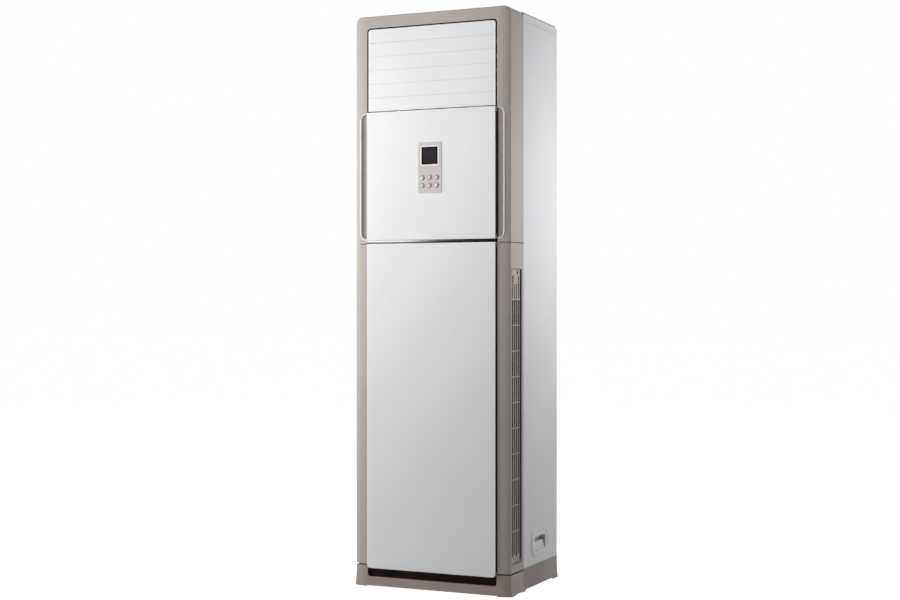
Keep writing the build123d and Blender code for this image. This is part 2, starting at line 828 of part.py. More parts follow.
with BuildPart() as right_intake_grille:
    block(
        (grille_outer_x - grille_depth, grille_low_y, grille_low_z),
        (grille_outer_x, grille_high_y, grille_high_z),
    )
    fillet(right_intake_grille.faces().sort_by(Axis.X)[-1].edges(), 0.8)
    # The top cell is a plate, hollow behind; the others hold thin upright fins.
    block(
        (grille_outer_x - grille_depth - 1, grille_low_y + 4, cell_low_z + rib_thick),
        (grille_outer_x - grille_plate_thick, grille_high_y - 4, grille_high_z - 4),
        mode=Mode.SUBTRACT,
    )
    for column in range(slot_count):
        y = first_slot_y + column * slot_pitch
        for row in range(rib_count + 1):
            cell_top = top_rib_z - rib_thick / 2 - row * rib_pitch
            cell_bottom = max(cell_top - rib_pitch + rib_thick, grille_low_z + 5)
            block(
                (grille_outer_x - grille_depth - 1, y - slot_width / 2, cell_bottom),
                (grille_outer_x + 1, y + slot_width / 2, cell_top),
                mode=Mode.SUBTRACT,
            )
            # Between two fins the rib is set a little deeper than they are.
            if row:
                block(
                    (grille_outer_x - 0.8, y - slot_width / 2, cell_top - 1),
                    (grille_outer_x + 1, y + slot_width / 2, cell_top + rib_thick + 1),
                    mode=Mode.SUBTRACT,
                )
        # A small hook stands in the foot of each slot.
        hook_height = 27.0 if column % 2 else 19.0
        block(
            (grille_outer_x - 5, y - 1.5, grille_low_z + 3),
            (grille_outer_x - 0.5, y + 1.5, grille_low_z + hook_height),
        )
        # Under the latch the plate has grooves in line with the slots.
        groove_top = grille_high_z - (22 if column in (0, 3) else 46)
        groove_y = y - slot_width / 2
        block(
            (grille_outer_x - groove_depth, groove_y, cell_low_z),
            (grille_outer_x + 1, groove_y + groove_width, groove_top),
            mode=Mode.SUBTRACT,
        )
    # The rib under the plate stands a little proud of the fins.
    block(
        (grille_outer_x - 3, grille_low_y + 2, top_rib_z - rib_thick / 2),
        (grille_outer_x + 0.8, grille_high_y - 1, top_rib_z + rib_thick / 2),
    )
    # Two pins at the foot, which the grille tilts on.
    for pin_y in (grille_front_y - grille_lug + 0.4, grille_high_y - 3):
        rod(
            (grille_pivot_x, pin_y, grille_pivot_z),
            (0, 1, 0),
            crank_pin_r,
            grille_lug + 3.6,
        )
    # Latch: a raised block with an oval finger hole.
    block(
        (grille_outer_x - 3, grille_low_y + 6, grille_high_z - 20),
        (grille_outer_x + 2.5, latch_y + 16, grille_high_z - 2),
    )
    block(
        (grille_outer_x - 3, latch_y - 26, grille_high_z - 42),
        (grille_outer_x + 1.5, latch_y + 2, grille_high_z - 20),
    )
    with BuildSketch(side_plane(grille_outer_x - groove_depth)):
        with Locations((latch_y, grille_high_z - 10)):
            SlotOverall(14, 10, rotation=90)
    extrude(amount=10, mode=Mode.SUBTRACT)
save(right_intake_grille.part, "right_intake_grille")
save(mirrored(right_intake_grille.part), "left_intake_grille")

filter_outer_x = grille_outer_x - grille_depth - 0.5
filter_thick = 4.0
net_columns = 4
net_rows = 60
net_cord = 1.6

with BuildPart() as right_air_filter:
    block(
        (filter_outer_x - filter_thick, grille_low_y + 2, grille_low_z + 6),
        (filter_outer_x, grille_high_y - 2, grille_high_z - 6),
    )
    net_width = grille_high_y - grille_low_y - 12
    net_height = grille_high_z - grille_low_z - 20
    net_y = (grille_low_y + grille_high_y) / 2
    net_z = (grille_low_z + grille_high_z) / 2
    for x0, x1 in ((-filter_thick - 1, -2.4), (-1.6, 1)):
        block(
            (filter_outer_x + x0, net_y - net_width / 2, net_z - net_height / 2),
            (filter_outer_x + x1, net_y + net_width / 2, net_z + net_height / 2),
            mode=Mode.SUBTRACT,
        )
    pitch_y = net_width / net_columns
    pitch_z = net_height / net_rows
    with BuildSketch(side_plane(filter_outer_x - 3)):
        with Locations((net_y, net_z)):
            with GridLocations(pitch_y, pitch_z, net_columns, net_rows):
                Rectangle(pitch_y - net_cord, pitch_z - net_cord)
    extrude(amount=2, mode=Mode.SUBTRACT)
save(right_air_filter.part, "right_air_filter")
save(mirrored(right_air_filter.part), "left_air_filter")

# ------------------------------------------------------------------------ casing
flange = 14.0
screw_r = 1.95
screw_hole_r = 2.2
screw_x = half_width - flange / 2
back_screw_z = [side_bottom_z + 30 + k * 270 for k in range(7)]

with BuildPart() as right_side_panel:
    block(
        (half_width - flange, frame_back_y + joint_gap, side_bottom_z),
        (half_width, back_y, hood_bottom_z - joint_gap),
    )
    rear_edges = right_side_panel.edges().filter_by(Axis.Z).group_by(Axis.Y)[-1]
    fillet(rear_edges.sort_by(Axis.X)[-1], rear_corner_r)
    block(
        (half_width - flange - 1, frame_back_y + joint_gap + sheet, side_bottom_z - 1),
        (half_width - sheet, back_y - sheet, hood_bottom_z),
        mode=Mode.SUBTRACT,
    )
    with BuildSketch(side_plane(half_width - 5)):
        with Locations((handle_y, handle_z)):
            RectangleRounded(pocket_width + 8, pocket_height + 8, 20)
    extrude(amount=10, mode=Mode.SUBTRACT)
    for z in back_screw_z:
        rod((screw_x, back_y + 1, z), (0, -1, 0), screw_hole_r, 5, mode=Mode.SUBTRACT)
save(right_side_panel.part, "right_side_panel")
save(mirrored(right_side_panel.part), "left_side_panel")

# The lower half of each pocket is filled by a ramp, and the fingers reach in above it.
ramp_foot_x = half_width - 2.0
ramp_head_x = half_width - 8.0
housing_back_x = half_width - pocket_depth - 2.0

with BuildPart() as handle_ramp:
    with BuildSketch(side_plane(housing_back_x + 1)):
        with Locations((handle_y, handle_z)):
            RectangleRounded(pocket_width + 1, pocket_height + 1, 14)
    extrude(amount=pocket_depth)
    with BuildSketch(front_plane(-casing_depth)):
        with BuildLine():
            foot_z = handle_z - pocket_height / 2
            Polyline(
                (ramp_foot_x, foot_z + 3),
                (ramp_head_x, handle_z),
                (housing_back_x, handle_z),
                (housing_back_x, foot_z - 2),
                (ramp_foot_x, foot_z - 2),
                close=True,
            )
        make_face()
    extrude(amount=-2 * casing_depth, mode=Mode.INTERSECT)

with BuildPart() as carry_handles:
    with BuildSketch(side_plane(half_width)):
        with Locations((handle_y, handle_z)):
            RectangleRounded(handle_width, handle_height, handle_corner_r)
    extrude(amount=handle_proud)
    fillet(carry_handles.faces().sort_by(Axis.X)[-1].edges(), 2.2)
    # Inside the rim lies a shallow dish.
    with BuildSketch(side_plane(half_width + 0.8)):
        with Locations((handle_y, handle_z)):
            RectangleRounded(handle_width - 22, handle_height - 20, handle_corner_r - 9)
    extrude(amount=10, taper=-30, mode=Mode.SUBTRACT)
    with BuildSketch(side_plane(half_width + 0.5)):
        with Locations((handle_y, handle_z)):
            RectangleRounded(pocket_width + 4, pocket_height + 4, 16)
    extrude(amount=-(half_width + 0.5 - housing_back_x))
    # The pocket reaches up behind the dish, so that its upper edge is the grip.
    with BuildSketch(side_plane(half_width - 3)):
        with Locations((handle_y, handle_z)):
            RectangleRounded(pocket_width, pocket_height, 14)
    extrude(amount=-(pocket_depth - 3), mode=Mode.SUBTRACT)
    with BuildSketch(side_plane(half_width + 4)):
        with Locations((handle_y, handle_z - 4)):
            RectangleRounded(pocket_width - 6, pocket_height - 8, 10)
    extrude(amount=-10, mode=Mode.SUBTRACT)
    add(handle_ramp.part)
    mirror(about=Plane.YZ)
save(carry_handles.part, "carry_handles")

pipe_hole_x = 120.0
pipe_hole_z = 250.0
pipe_hole_r = 40.0
back_front_y = back_y - 2 * sheet

with BuildPart() as back_panel:
    block(
        (-half_width + 2 * sheet, back_front_y, side_bottom_z),
        (half_width - 2 * sheet, back_front_y + sheet, hood_bottom_z - joint_gap),
    )
    # Long pressed beads keep the sheet from drumming.
    for x in (-130.0, 0.0, 130.0):
        with BuildSketch(front_plane(back_front_y + sheet)):
            with Locations((x, 1080)):
                SlotOverall(1280, 26, rotation=90)
        extrude(amount=-sheet)
    rod((pipe_hole_x, back_y + 1, pipe_hole_z), (0, -1, 0), pipe_hole_r, 10, mode=Mode.SUBTRACT)
    for x in (-screw_x, screw_x):
        for z in back_screw_z:
            rod((x, back_y + 1, z), (0, -1, 0), screw_hole_r, 5, mode=Mode.SUBTRACT)
save(back_panel.part, "back_panel")

with BuildPart() as case_screws:
    for x in (-screw_x, screw_x):
        for z in back_screw_z:
            rod((x, back_y - 10, z), (0, 1, 0), screw_r, 10)
            rod((x, back_y, z), (0, 1, 0), 4, 2.2)
            block((x - 0.5, back_y + 1.4, z - 2.6), (x + 0.5, back_y + 3, z + 2.6), mode=Mode.SUBTRACT)
            block((x - 2.6, back_y + 1.4, z - 0.5), (x + 2.6, back_y + 3, z + 0.5), mode=Mode.SUBTRACT)
save(case_screws.part, "case_screws")

grommet_bore_r = 35.0

with BuildPart() as pipe_grommet:
    with BuildSketch(Plane.XY.offset(pipe_hole_z)):
        with BuildLine():
            groove_r = pipe_hole_r - 0.2
            Polyline(
                (pipe_hole_x + grommet_bore_r, back_front_y - 5),
                (pipe_hole_x + pipe_hole_r + 5, back_front_y - 5),
                (pipe_hole_x + pipe_hole_r + 5, back_front_y - 0.1),
                (pipe_hole_x + groove_r, back_front_y - 0.1),
                (pipe_hole_x + groove_r, back_front_y + sheet + 0.1),
                (pipe_hole_x + pipe_hole_r + 5, back_front_y + sheet + 0.1),
                (pipe_hole_x + pipe_hole_r + 5, back_y + 2),
                (pipe_hole_x + grommet_bore_r, back_y + 2),
                close=True,
            )
        make_face()
    revolve(axis=Axis((pipe_hole_x, 0, pipe_hole_z), (0, 1, 0)))
save(pipe_grommet.part, "pipe_grommet")

hood_corner_r = 12.0

with BuildPart() as top_hood:
    block(
        (-half_width, frame_back_y + joint_gap, hood_bottom_z),
        (half_width, back_y, hood_top_z),
    )
    fillet(top_hood.edges().filter_by(Axis.X).sort_by(Axis.Y)[-2:].sort_by(Axis.Z)[-1], hood_corner_r)
    block(
        (-half_width + sheet, frame_back_y, hood_bottom_z - 1),
        (half_width - sheet, back_y - hood_corner_r, hood_top_z - sheet),
        mode=Mode.SUBTRACT,
    )
    block(
        (-half_width + sheet, frame_back_y, hood_bottom_z - 1),
        (half_width - sheet, back_y - sheet, hood_top_z - hood_corner_r),
        mode=Mode.SUBTRACT,
    )
save(top_hood.part, "top_hood")

cover_thick = 5.0

with BuildPart() as top_cover:
    block(
        (-half_width + 0.4, frame_back_y + joint_gap, hood_top_z),
        (half_width - 0.4, back_y - hood_corner_r, hood_top_z + cover_thick),
    )
    fillet(top_cover.edges().filter_by(Axis.Z).group_by(Axis.Y)[-1], 6)
    fillet(top_cover.faces().sort_by(Axis.Z)[-1].edges().sort_by(Axis.Y)[1:], 1.2)
save(top_cover.part, "top_cover")

bracket_x = 150.0
bracket_width = 36.0
bracket_thick = 2.0
bracket_hole_r = 4.0
wall_hole_z = 1770.0

with BuildPart() as wall_brackets:
    for side in (-1, 1):
        x0 = side * bracket_x - bracket_width / 2
        x1 = side * bracket_x + bracket_width / 2
        cover_z = hood_top_z + cover_thick
        block((x0, back_y - 60, cover_z), (x1, back_y + bracket_thick, cover_z + bracket_thick))
        block((x0, back_y, 1750), (x1, back_y + bracket_thick, cover_z + 1))
        rod(
            (side * bracket_x, back_y + 5, wall_hole_z),
            (0, -1, 0),
            bracket_hole_r,
            5,
            mode=Mode.SUBTRACT,
        )
save(wall_brackets.part, "wall_brackets")

# ------------------------------------------------------------------------ fan
scroll_wall = 2.0
tongue_angle = 78.0
scroll_start_r = 184.0
scroll_end_r = 226.0
throat_left_x = 26.0
partition_z = seam_z
outlet_collar_z = partition_z - 0.5
inlet_hole_r = 156.5
ring_flange_r = 166.0
ring_throat_r = 136.0
ring_bend = 18.0
ring_sheet = 1.5


def spiral_point(angle, grow=0.0):
    """Point of the scroll's outline at an angle, anticlockwise seen from the front."""
    turn = (angle - tongue_angle) / (360 - tongue_angle)
    r = scroll_start_r + (scroll_end_r - scroll_start_r) * turn + grow
    return (fan_x + r * cos(radians(angle)), fan_z + r * sin(radians(angle)))


def scroll_outline(grow=0.0):
    """Outline of the scroll: a spiral that opens into a straight throat upwards."""
    stops = [tongue_angle + k * (360 - tongue_angle) / 6 for k in range(7)]
    with BuildSketch() as outline:
        with BuildLine():
            for start, end in zip(stops, stops[1:]):
                middle = (start + end) / 2
                ThreePointArc(
                    spiral_point(start, grow), spiral_point(middle, grow), spiral_point(end, grow)
                )
            right_foot = spiral_point(360, grow)
            tongue = spiral_point(tongue_angle, grow)
            right_top = (right_foot[0], outlet_collar_z)
            left_top = (throat_left_x - grow, outlet_collar_z)
            Polyline(right_foot, right_top, left_top, tongue)
        make_face()
    return outline.sketch


with BuildPart() as fan_scroll:
    with BuildSketch(front_plane(scroll_front_y)):
        add(scroll_outline(scroll_wall))
    extrude(amount=-(scroll_back_y - scroll_front_y))
    with BuildSketch(front_plane(scroll_front_y + scroll_wall)):
        add(scroll_outline())
    extrude(amount=-(scroll_back_y - scroll_front_y - 2 * scroll_wall), mode=Mode.SUBTRACT)
    right_x = spiral_point(360)[0]
    block(
        (throat_left_x + 2, scroll_front_y + scroll_wall, outlet_collar_z - 20),
        (right_x, scroll_back_y - scroll_wall, outlet_collar_z + 5),
        mode=Mode.SUBTRACT,
    )
    rod((fan_x, scroll_front_y - 1, fan_z), (0, 1, 0), inlet_hole_r, 5, mode=Mode.SUBTRACT)
    rod((fan_x, scroll_back_y - 5, fan_z), (0, 1, 0), 40, 8, mode=Mode.SUBTRACT)
    # The bellmouth is a ring of its own: its flange curls inwards into the eye of the wheel.
    with BuildSketch(Plane.XY.offset(fan_z)):
        with BuildLine():
            front_line = scroll_front_y - ring_sheet - 0.3
            flat = Line(
                (fan_x + ring_flange_r, front_line), (fan_x + ring_throat_r + ring_bend, front_line)
            )
            curl = RadiusArc(
                flat @ 1, (fan_x + ring_throat_r, front_line + ring_bend), ring_bend
            )
            lip_line = Line(curl @ 1, (fan_x + ring_throat_r, front_line + ring_bend + 10))
            tip = Line(lip_line @ 1, lip_line @ 1 + (ring_sheet, 0))
            inner_lip = Line(
                tip @ 1, (fan_x + ring_throat_r + ring_sheet, front_line + ring_bend)
            )
            inner_curl = RadiusArc(
                inner_lip @ 1,
                (fan_x + ring_throat_r + ring_bend, front_line + ring_sheet),
                -(ring_bend - ring_sheet),
            )
            under = Line(inner_curl @ 1, (fan_x + ring_flange_r, front_line + ring_sheet))
            Line(under @ 1, flat @ 0)
        make_face()
    revolve(axis=Axis((fan_x, 0, fan_z), (0, 1, 0)))
save(fan_scroll.part, "fan_scroll")

blade_inner_r = 141.0
blade_outer_r = 162.0
hub_r = 22.0
hub_length = 34.0
wheel_disc = 3.0

with BuildSketch(front_plane(wheel_back_y - wheel_disc / 2)) as blade_strip:
    with BuildLine():
        root = (blade_inner_r, 0)
        crown = (blade_outer_r, 9.0)
        ThreePointArc(root, (152.5, 1.6), crown)
        Line(crown, (blade_outer_r + 0.9, 7.8))
        ThreePointArc((blade_outer_r + 0.9, 7.8), (153.0, 0.3), (blade_inner_r + 0.3, -1.3))
        Line((blade_inner_r + 0.3, -1.3), root)
    make_face()

with BuildPart() as fan_wheel:
    rod((fan_x, wheel_back_y - wheel_disc, fan_z), (0, 1, 0), wheel_r, wheel_disc)
    rod((fan_x, wheel_back_y - hub_length, fan_z), (0, 1, 0), hub_r, hub_length)
    rod((fan_x, wheel_front_y, fan_z), (0, 1, 0), wheel_r, 6)
    rod((fan_x, wheel_front_y - 1, fan_z), (0, 1, 0), 150, 8, mode=Mode.SUBTRACT)
    with BuildSketch(front_plane(wheel_back_y - wheel_disc / 2)):
        with Locations((fan_x, fan_z)):
            with PolarLocations(0, blade_count):
                add(blade_strip.sketch_local)
    extrude(amount=wheel_back_y - wheel_front_y - wheel_disc)
    rod(
        (fan_x, wheel_back_y - hub_length - 1, fan_z),
        (0, 1, 0),
        shaft_r + 0.02,
        hub_length + 2,
        mode=Mode.SUBTRACT,
    )
    # Round openings in the disc cool the motor.
    with BuildSketch(front_plane(wheel_back_y - wheel_disc - 1)):
        with Locations((fan_x, fan_z)):
            with PolarLocations(78, 6):
                Circle(14)
    extrude(amount=-(wheel_disc + 2), mode=Mode.SUBTRACT)
save(fan_wheel.part, "fan_wheel")

motor_front_y = scroll_back_y + 4.0
motor_r = 68.0
motor_length = 78.0
bracket_ring_r = 92.0
shaft_front_y = wheel_back_y - hub_length - 6

with BuildPart() as fan_shaft:
    rod((fan_x, shaft_front_y, fan_z), (0, 1, 0), shaft_r, motor_front_y + 30 - shaft_front_y)
    chamfer(fan_shaft.edges().filter_by(GeomType.CIRCLE), 0.8)
    rod((fan_x, shaft_front_y - 1.5, fan_z), (0, 1, 0), 10, 7.3)
save(fan_shaft.part, "fan_shaft")

with BuildPart() as fan_motor:
    rod((fan_x, motor_front_y, fan_z), (0, 1, 0), motor_r, motor_length)
    fillet(fan_motor.edges().filter_by(GeomType.CIRCLE), 10)
    rod((fan_x, motor_front_y - 2, fan_z), (0, 1, 0), 24, 8)
    rod((fan_x, motor_front_y - 3, fan_z), (0, 1, 0), shaft_r + 0.3, 40, mode=Mode.SUBTRACT)
    with BuildSketch(front_plane(motor_front_y + motor_length / 2 - 4)):
        with Locations((fan_x, fan_z)):
            with PolarLocations(motor_r + 8, 4, start_angle=45):
                RectangleRounded(26, 16, 4)
    extrude(amount=-8)
    with BuildSketch(front_plane(motor_front_y)):
        with Locations((fan_x, fan_z)):
            with PolarLocations(motor_r + 12, 4, start_angle=45):
                Circle(2.6)
    extrude(amount=-motor_length, mode=Mode.SUBTRACT)
    # Its bracket is a ring on the back of the scroll, with four arms that reach the lugs.
    with BuildSketch(front_plane(scroll_back_y)):
        with Locations((fan_x, fan_z)):
            Circle(bracket_ring_r + 12)
            Circle(bracket_ring_r - 12, mode=Mode.SUBTRACT)
    extrude(amount=-2)
    arm_length = motor_front_y + motor_length / 2 - 4 - scroll_back_y
    with BuildSketch(front_plane(scroll_back_y + 1)):
        with Locations((fan_x, fan_z)):
            with PolarLocations(motor_r + 17, 4, start_angle=45):
                Rectangle(6, 14)
    extrude(amount=-(arm_length - 1 - 0.2))
save(fan_motor.part, "fan_motor")

# ------------------------------------------------------------------------ coil and pipes
lean_length = hypot(coil_head_y - coil_foot_y, coil_head_z - coil_foot_z)
lean_angle = degrees(atan2(coil_head_y - coil_foot_y, coil_head_z - coil_foot_z))
lean = radians(lean_angle)


def coil_plane(x=0.0):
    """Plane of a side of the coil: up the slope, and from its front face to its back."""
    return Plane(
        origin=(x, coil_foot_y, coil_foot_z),
        x_dir=(0, sin(lean), cos(lean)),
        z_dir=(1, 0, 0),
    )


def tube_place(number, row):
    """Where a tube crosses the coil: distance up the slope and offset from its middle."""
    first = (lean_length - (tubes_per_row - 1) * tube_pitch) / 2
    return (first + number * tube_pitch, row * row_gap / 2)


tube_places = [tube_place(n, row) for row in (-1, 1) for n in range(tubes_per_row)]

with BuildPart() as evaporator_fins:
    with BuildSketch(coil_plane(-coil_half)):
        with Locations((lean_length / 2, 0)):
            Rectangle(lean_length, coil_thick)
        with Locations(*tube_places):
            Circle(tube_r + 0.1, mode=Mode.SUBTRACT)
    extrude(amount=2 * coil_half)
save(evaporator_fins.part, "evaporator_fins")

end_plate_x = coil_half + 0.5
end_plate_thick = 1.2

with BuildPart() as evaporator_end_plates:
    for side in (-1, 1):
        start = side * end_plate_x
        with BuildSketch(coil_plane(start)):
            with Locations((lean_length / 2, 0)):
                Rectangle(lean_length + 10, coil_thick + 16)
            with Locations(*tube_places):
                Circle(tube_r + 0.4, mode=Mode.SUBTRACT)
        extrude(amount=side * end_plate_thick)
save(evaporator_end_plates.part, "evaporator_end_plates")

# One circuit: up the front row and down the back row, with both ends on the right.
turn_x = end_plate_x + end_plate_thick + 5.0
stub_x = turn_x + 2.0


def coil_point(x, number, row):
    """A point on the axis of a tube, in space."""
    along, across = tube_place(number, row)
    return coil_plane(x).from_local_coords(Vector(along, across, 0))


circuit = [(n, 1) for n in range(tubes_per_row)]
circuit += [(n, -1) for n in reversed(range(tubes_per_row))]

with BuildPart() as evaporator_tubes:
    with BuildLine():
        side = 1
        for step, (number, row) in enumerate(circuit):
            start_x = stub_x if step == 0 else side * turn_x
            end_x = stub_x if step == len(circuit) - 1 else -side * turn_x
            Line(coil_point(start_x, number, row), coil_point(end_x, number, row))
            if step < len(circuit) - 1:
                here = coil_point(end_x, number, row)
                there = coil_point(end_x, *circuit[step + 1])
                bulge = (there - here).length / 2
                middle = (here + there) / 2 + Vector(-side * bulge, 0, 0)
                ThreePointArc(here, middle, there)
            side = -side
    start_plane = Plane(origin=coil_point(stub_x, *circuit[0]), z_dir=(-1, 0, 0))
    with BuildSketch(start_plane):
        Circle(tube_r)
    sweep()
save(evaporator_tubes.part, "evaporator_tubes")


def pipe_run(start, drop_x, end_z, radius, bend):
    """A copper pipe that leaves the coil sideways and turns straight down."""
    with BuildPart() as pipe:
        with BuildLine():
            out = Line(start, (drop_x - bend, start.Y, start.Z))
            down = TangentArc(out @ 1, (drop_x, start.Y, start.Z - bend), tangent=(1, 0, 0))
            Line(down @ 1, (drop_x, start.Y, end_z))
        with BuildSketch(Plane(origin=start, z_dir=(1, 0, 0))):
            Circle(radius)
        sweep()
    return pipe.part


gas_r = 9.525
liquid_r = 4.76
gas_start = coil_point(stub_x, 0, -1)
liquid_start = coil_point(stub_x, 0, 1)
gas_end_z = 340.0
liquid_end_z = 420.0
gas_x = stub_x + 22.0
liquid_x = stub_x + 34.0

with BuildPart() as refrigerant_pipes:
    add(pipe_run(gas_start, gas_x, gas_end_z, gas_r, 20))
    add(pipe_run(liquid_start, liquid_x, liquid_end_z, liquid_r, 20))
save(refrigerant_pipes.part, "refrigerant_pipes")

with BuildPart() as flare_nuts:
    for start, x, z, pipe_r, flats in (
        (gas_start, gas_x, gas_end_z, gas_r, 32.0),
        (liquid_start, liquid_x, liquid_end_z, liquid_r, 19.0),
    ):
        with BuildSketch(Plane.XY.offset(z - 2)):
            with Locations((x, start.Y)):
                RegularPolygon(flats / 2, 6, major_radius=False)
                Circle(pipe_r + 0.15, mode=Mode.SUBTRACT)
        extrude(amount=24)
save(flare_nuts.part, "flare_nuts")

pan_drop = 30.0
tray_half = 222.0
tray_front_y = coil_foot_y - 38
tray_back_y = coil_foot_y + 62
tray_top_z = coil_foot_z - 8
drain_x = -190.0
drain_y = tray_back_y - 22

with BuildPart() as drain_pan:
    block(
        (-tray_half, tray_front_y, tray_top_z - pan_drop), (tray_half, tray_back_y, tray_top_z)
    )
    block(
        (-tray_half + 3, tray_front_y + 3, tray_top_z - pan_drop + 3),
        (tray_half - 3, tray_back_y - 3, tray_top_z + 1),
        mode=Mode.SUBTRACT,
    )
    rod((drain_x, drain_y, tray_top_z - pan_drop - 22), (0, 0, 1), 10, 23)
    rod((drain_x, drain_y, tray_top_z - pan_drop - 23), (0, 0, 1), 7.5, 30, mode=Mode.SUBTRACT)
save(drain_pan.part, "drain_pan")

drain_end_z = 215.0
hose_side_x = -246.0
hose_top = tray_top_z - pan_drop - 6

with BuildPart() as drain_hose:
    # The hose steps aside past the fan scroll and ends behind the base pan's rim.
    with BuildLine():
        FilletPolyline(
            (drain_x, drain_y, hose_top),
            (drain_x, drain_y, partition_z - 20),
            (hose_side_x, drain_y, partition_z - 90),
            (hose_side_x, drain_y, drain_end_z),
            (hose_side_x + 50, drain_y + 40, drain_end_z - 30),
            radius=30,
        )
    with BuildSketch(Plane.XY.offset(hose_top)):
        with Locations((drain_x, drain_y)):
            Circle(12)
            Circle(10.1, mode=Mode.SUBTRACT)
    sweep()
save(drain_hose.part, "drain_hose")

with BuildPart() as partition_plate:
    block(
        (-half_width + 2 * sheet, frame_back_y + 6, partition_z),
        (half_width - 2 * sheet, back_front_y - 0.5, partition_z + 1.5),
    )
    collar_right = spiral_point(360)[0]
    block(
        (throat_left_x + 4, scroll_front_y + 4, partition_z - 1),
        (collar_right - 2, scroll_back_y - 4, partition_z + 3),
        mode=Mode.SUBTRACT,
    )
    rod((drain_x, drain_y, partition_z - 1), (0, 0, 1), 14, 5, mode=Mode.SUBTRACT)
    rod((gas_x, gas_start.Y, partition_z - 1), (0, 0, 1), 13, 5, mode=Mode.SUBTRACT)
    rod((liquid_x, liquid_start.Y, partition_z - 1), (0, 0, 1), 8, 5, mode=Mode.SUBTRACT)
save(partition_plate.part, "partition_plate")

# ------------------------------------------------------------------------ electrics
box_half = 170.0
box_front_y = stile_y + 30.0
box_back_y = stile_y + 112.0
box_bottom_z = 1150.0
box_top_z = 1480.0

with BuildPart() as electric_box:
    block((-box_half, box_front_y, box_bottom_z), (box_half, box_back_y, box_top_z))
    block(
        (-box_half + sheet, box_front_y - 1, box_bottom_z + sheet),
        (box_half - sheet, box_back_y - sheet, box_top_z - sheet),
        mode=Mode.SUBTRACT,
    )
    rod((box_half - 40, box_back_y - 30, box_bottom_z - 1), (0, 0, 1), 14, 5, mode=Mode.SUBTRACT)
    # Its cover is a separate sheet, with the middle pressed forwards.
    cover_y = box_front_y - 0.2
    block(
        (-box_half - 2, cover_y - sheet, box_bottom_z - 2),
        (box_half + 2, cover_y, box_top_z + 2),
    )
    block(
        (-box_half + 14, cover_y - sheet - 2, box_bottom_z + 14),
        (box_half - 14, cover_y - sheet, box_top_z - 14),
    )
    block(
        (-box_half + 15, cover_y - sheet - 1, box_bottom_z + 15),
        (box_half - 15, cover_y, box_top_z - 15),
        mode=Mode.SUBTRACT,
    )
save(electric_box.part, "electric_box")

with BuildPart() as main_board:
    board_front_y = box_back_y - 12
    block(
        (-box_half + 14, board_front_y, box_bottom_z + 120),
        (box_half - 14, board_front_y + 1.6, box_top_z - 14),
    )
    for x, z, width, tall, deep in (
        (-110.0, 1440.0, 44.0, 30.0, 26.0),
        (-40.0, 1430.0, 36.0, 36.0, 30.0),
        (40.0, 1436.0, 60.0, 18.0, 14.0),
        (110.0, 1420.0, 30.0, 48.0, 22.0),
        (-90.0, 1350.0, 70.0, 40.0, 18.0),
        (20.0, 1340.0, 50.0, 50.0, 10.0),
        (110.0, 1330.0, 40.0, 24.0, 20.0),
    ):
        block(
            (x - width / 2, board_front_y - deep, z - tall / 2),
            (x + width / 2, board_front_y, z + tall / 2),
        )
    for x in (-box_half + 22, box_half - 22):
        for z in (box_bottom_z + 128, box_top_z - 22):
            rod((x, board_front_y + 1.6, z), (0, 1, 0), 3, box_back_y - sheet - board_front_y - 1.6)
save(main_board.part, "main_board")

with BuildPart() as terminal_block:
    poles = 5
    pole_pitch = 20.0
    half = poles * pole_pitch / 2
    terminal_z = box_bottom_z + 60
    rear = box_back_y - sheet
    block((-half, rear - 18, terminal_z - 20), (half, rear, terminal_z + 20))
    for k in range(poles + 1):
        x = -half + k * pole_pitch
        block((x - 1.2, rear - 26, terminal_z - 20), (x + 1.2, rear - 17, terminal_z + 20))
    for k in range(poles):
        x = -half + (k + 0.5) * pole_pitch
        for z in (terminal_z - 11, terminal_z + 11):
            rod((x, rear - 21, z), (0, 1, 0), 4, 4)
save(terminal_block.part, "terminal_block")
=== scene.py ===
"""Looks of a floor standing air conditioner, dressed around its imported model.

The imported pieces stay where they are. This script gives each of them its finish, adds the
fine pieces that only the eye needs, and sets up the floor, the lamps and the camera.
All lengths are in metres unless a name ends in _mm.
"""

import logging
import math
from dataclasses import dataclass, field
from enum import Enum
from typing import Any, Iterable

import bmesh
import bpy
from mathutils import Matrix, Vector


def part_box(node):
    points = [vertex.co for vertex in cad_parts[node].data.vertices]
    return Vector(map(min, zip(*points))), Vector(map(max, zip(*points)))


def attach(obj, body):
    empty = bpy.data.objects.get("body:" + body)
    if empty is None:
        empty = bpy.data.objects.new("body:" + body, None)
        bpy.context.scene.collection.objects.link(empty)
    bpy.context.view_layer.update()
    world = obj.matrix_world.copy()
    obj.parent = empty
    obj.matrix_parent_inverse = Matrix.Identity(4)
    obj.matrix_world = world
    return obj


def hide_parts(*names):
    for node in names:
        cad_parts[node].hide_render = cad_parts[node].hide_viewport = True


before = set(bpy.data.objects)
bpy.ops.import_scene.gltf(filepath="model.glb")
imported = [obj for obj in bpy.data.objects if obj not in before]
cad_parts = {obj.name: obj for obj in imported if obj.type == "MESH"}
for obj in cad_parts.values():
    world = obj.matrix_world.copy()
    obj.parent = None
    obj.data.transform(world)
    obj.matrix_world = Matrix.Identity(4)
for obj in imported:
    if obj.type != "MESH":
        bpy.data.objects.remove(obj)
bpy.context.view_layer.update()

MM = 0.001
log = logging.getLogger("air_conditioner")

Mesh = bmesh.types.BMesh
Socket = bpy.types.NodeSocket
Tree = bpy.types.ShaderNodeTree
Color = tuple[float, float, float, float]

SIDES = (("right", 1), ("left", -1))  # each side's name, and the sign of its X


# ---------------------------------------------------------------------------- colours and nodes
SHARE, FIRST, SECOND, MIXED = 0, 6, 7, 2  # sockets of a Mix node that mixes two colours
NOISE_LOW = 0.3  # nearly all the values of a noise texture lie between these two
NOISE_HIGH = 0.7
LEAST_ROUGHNESS = 0.02


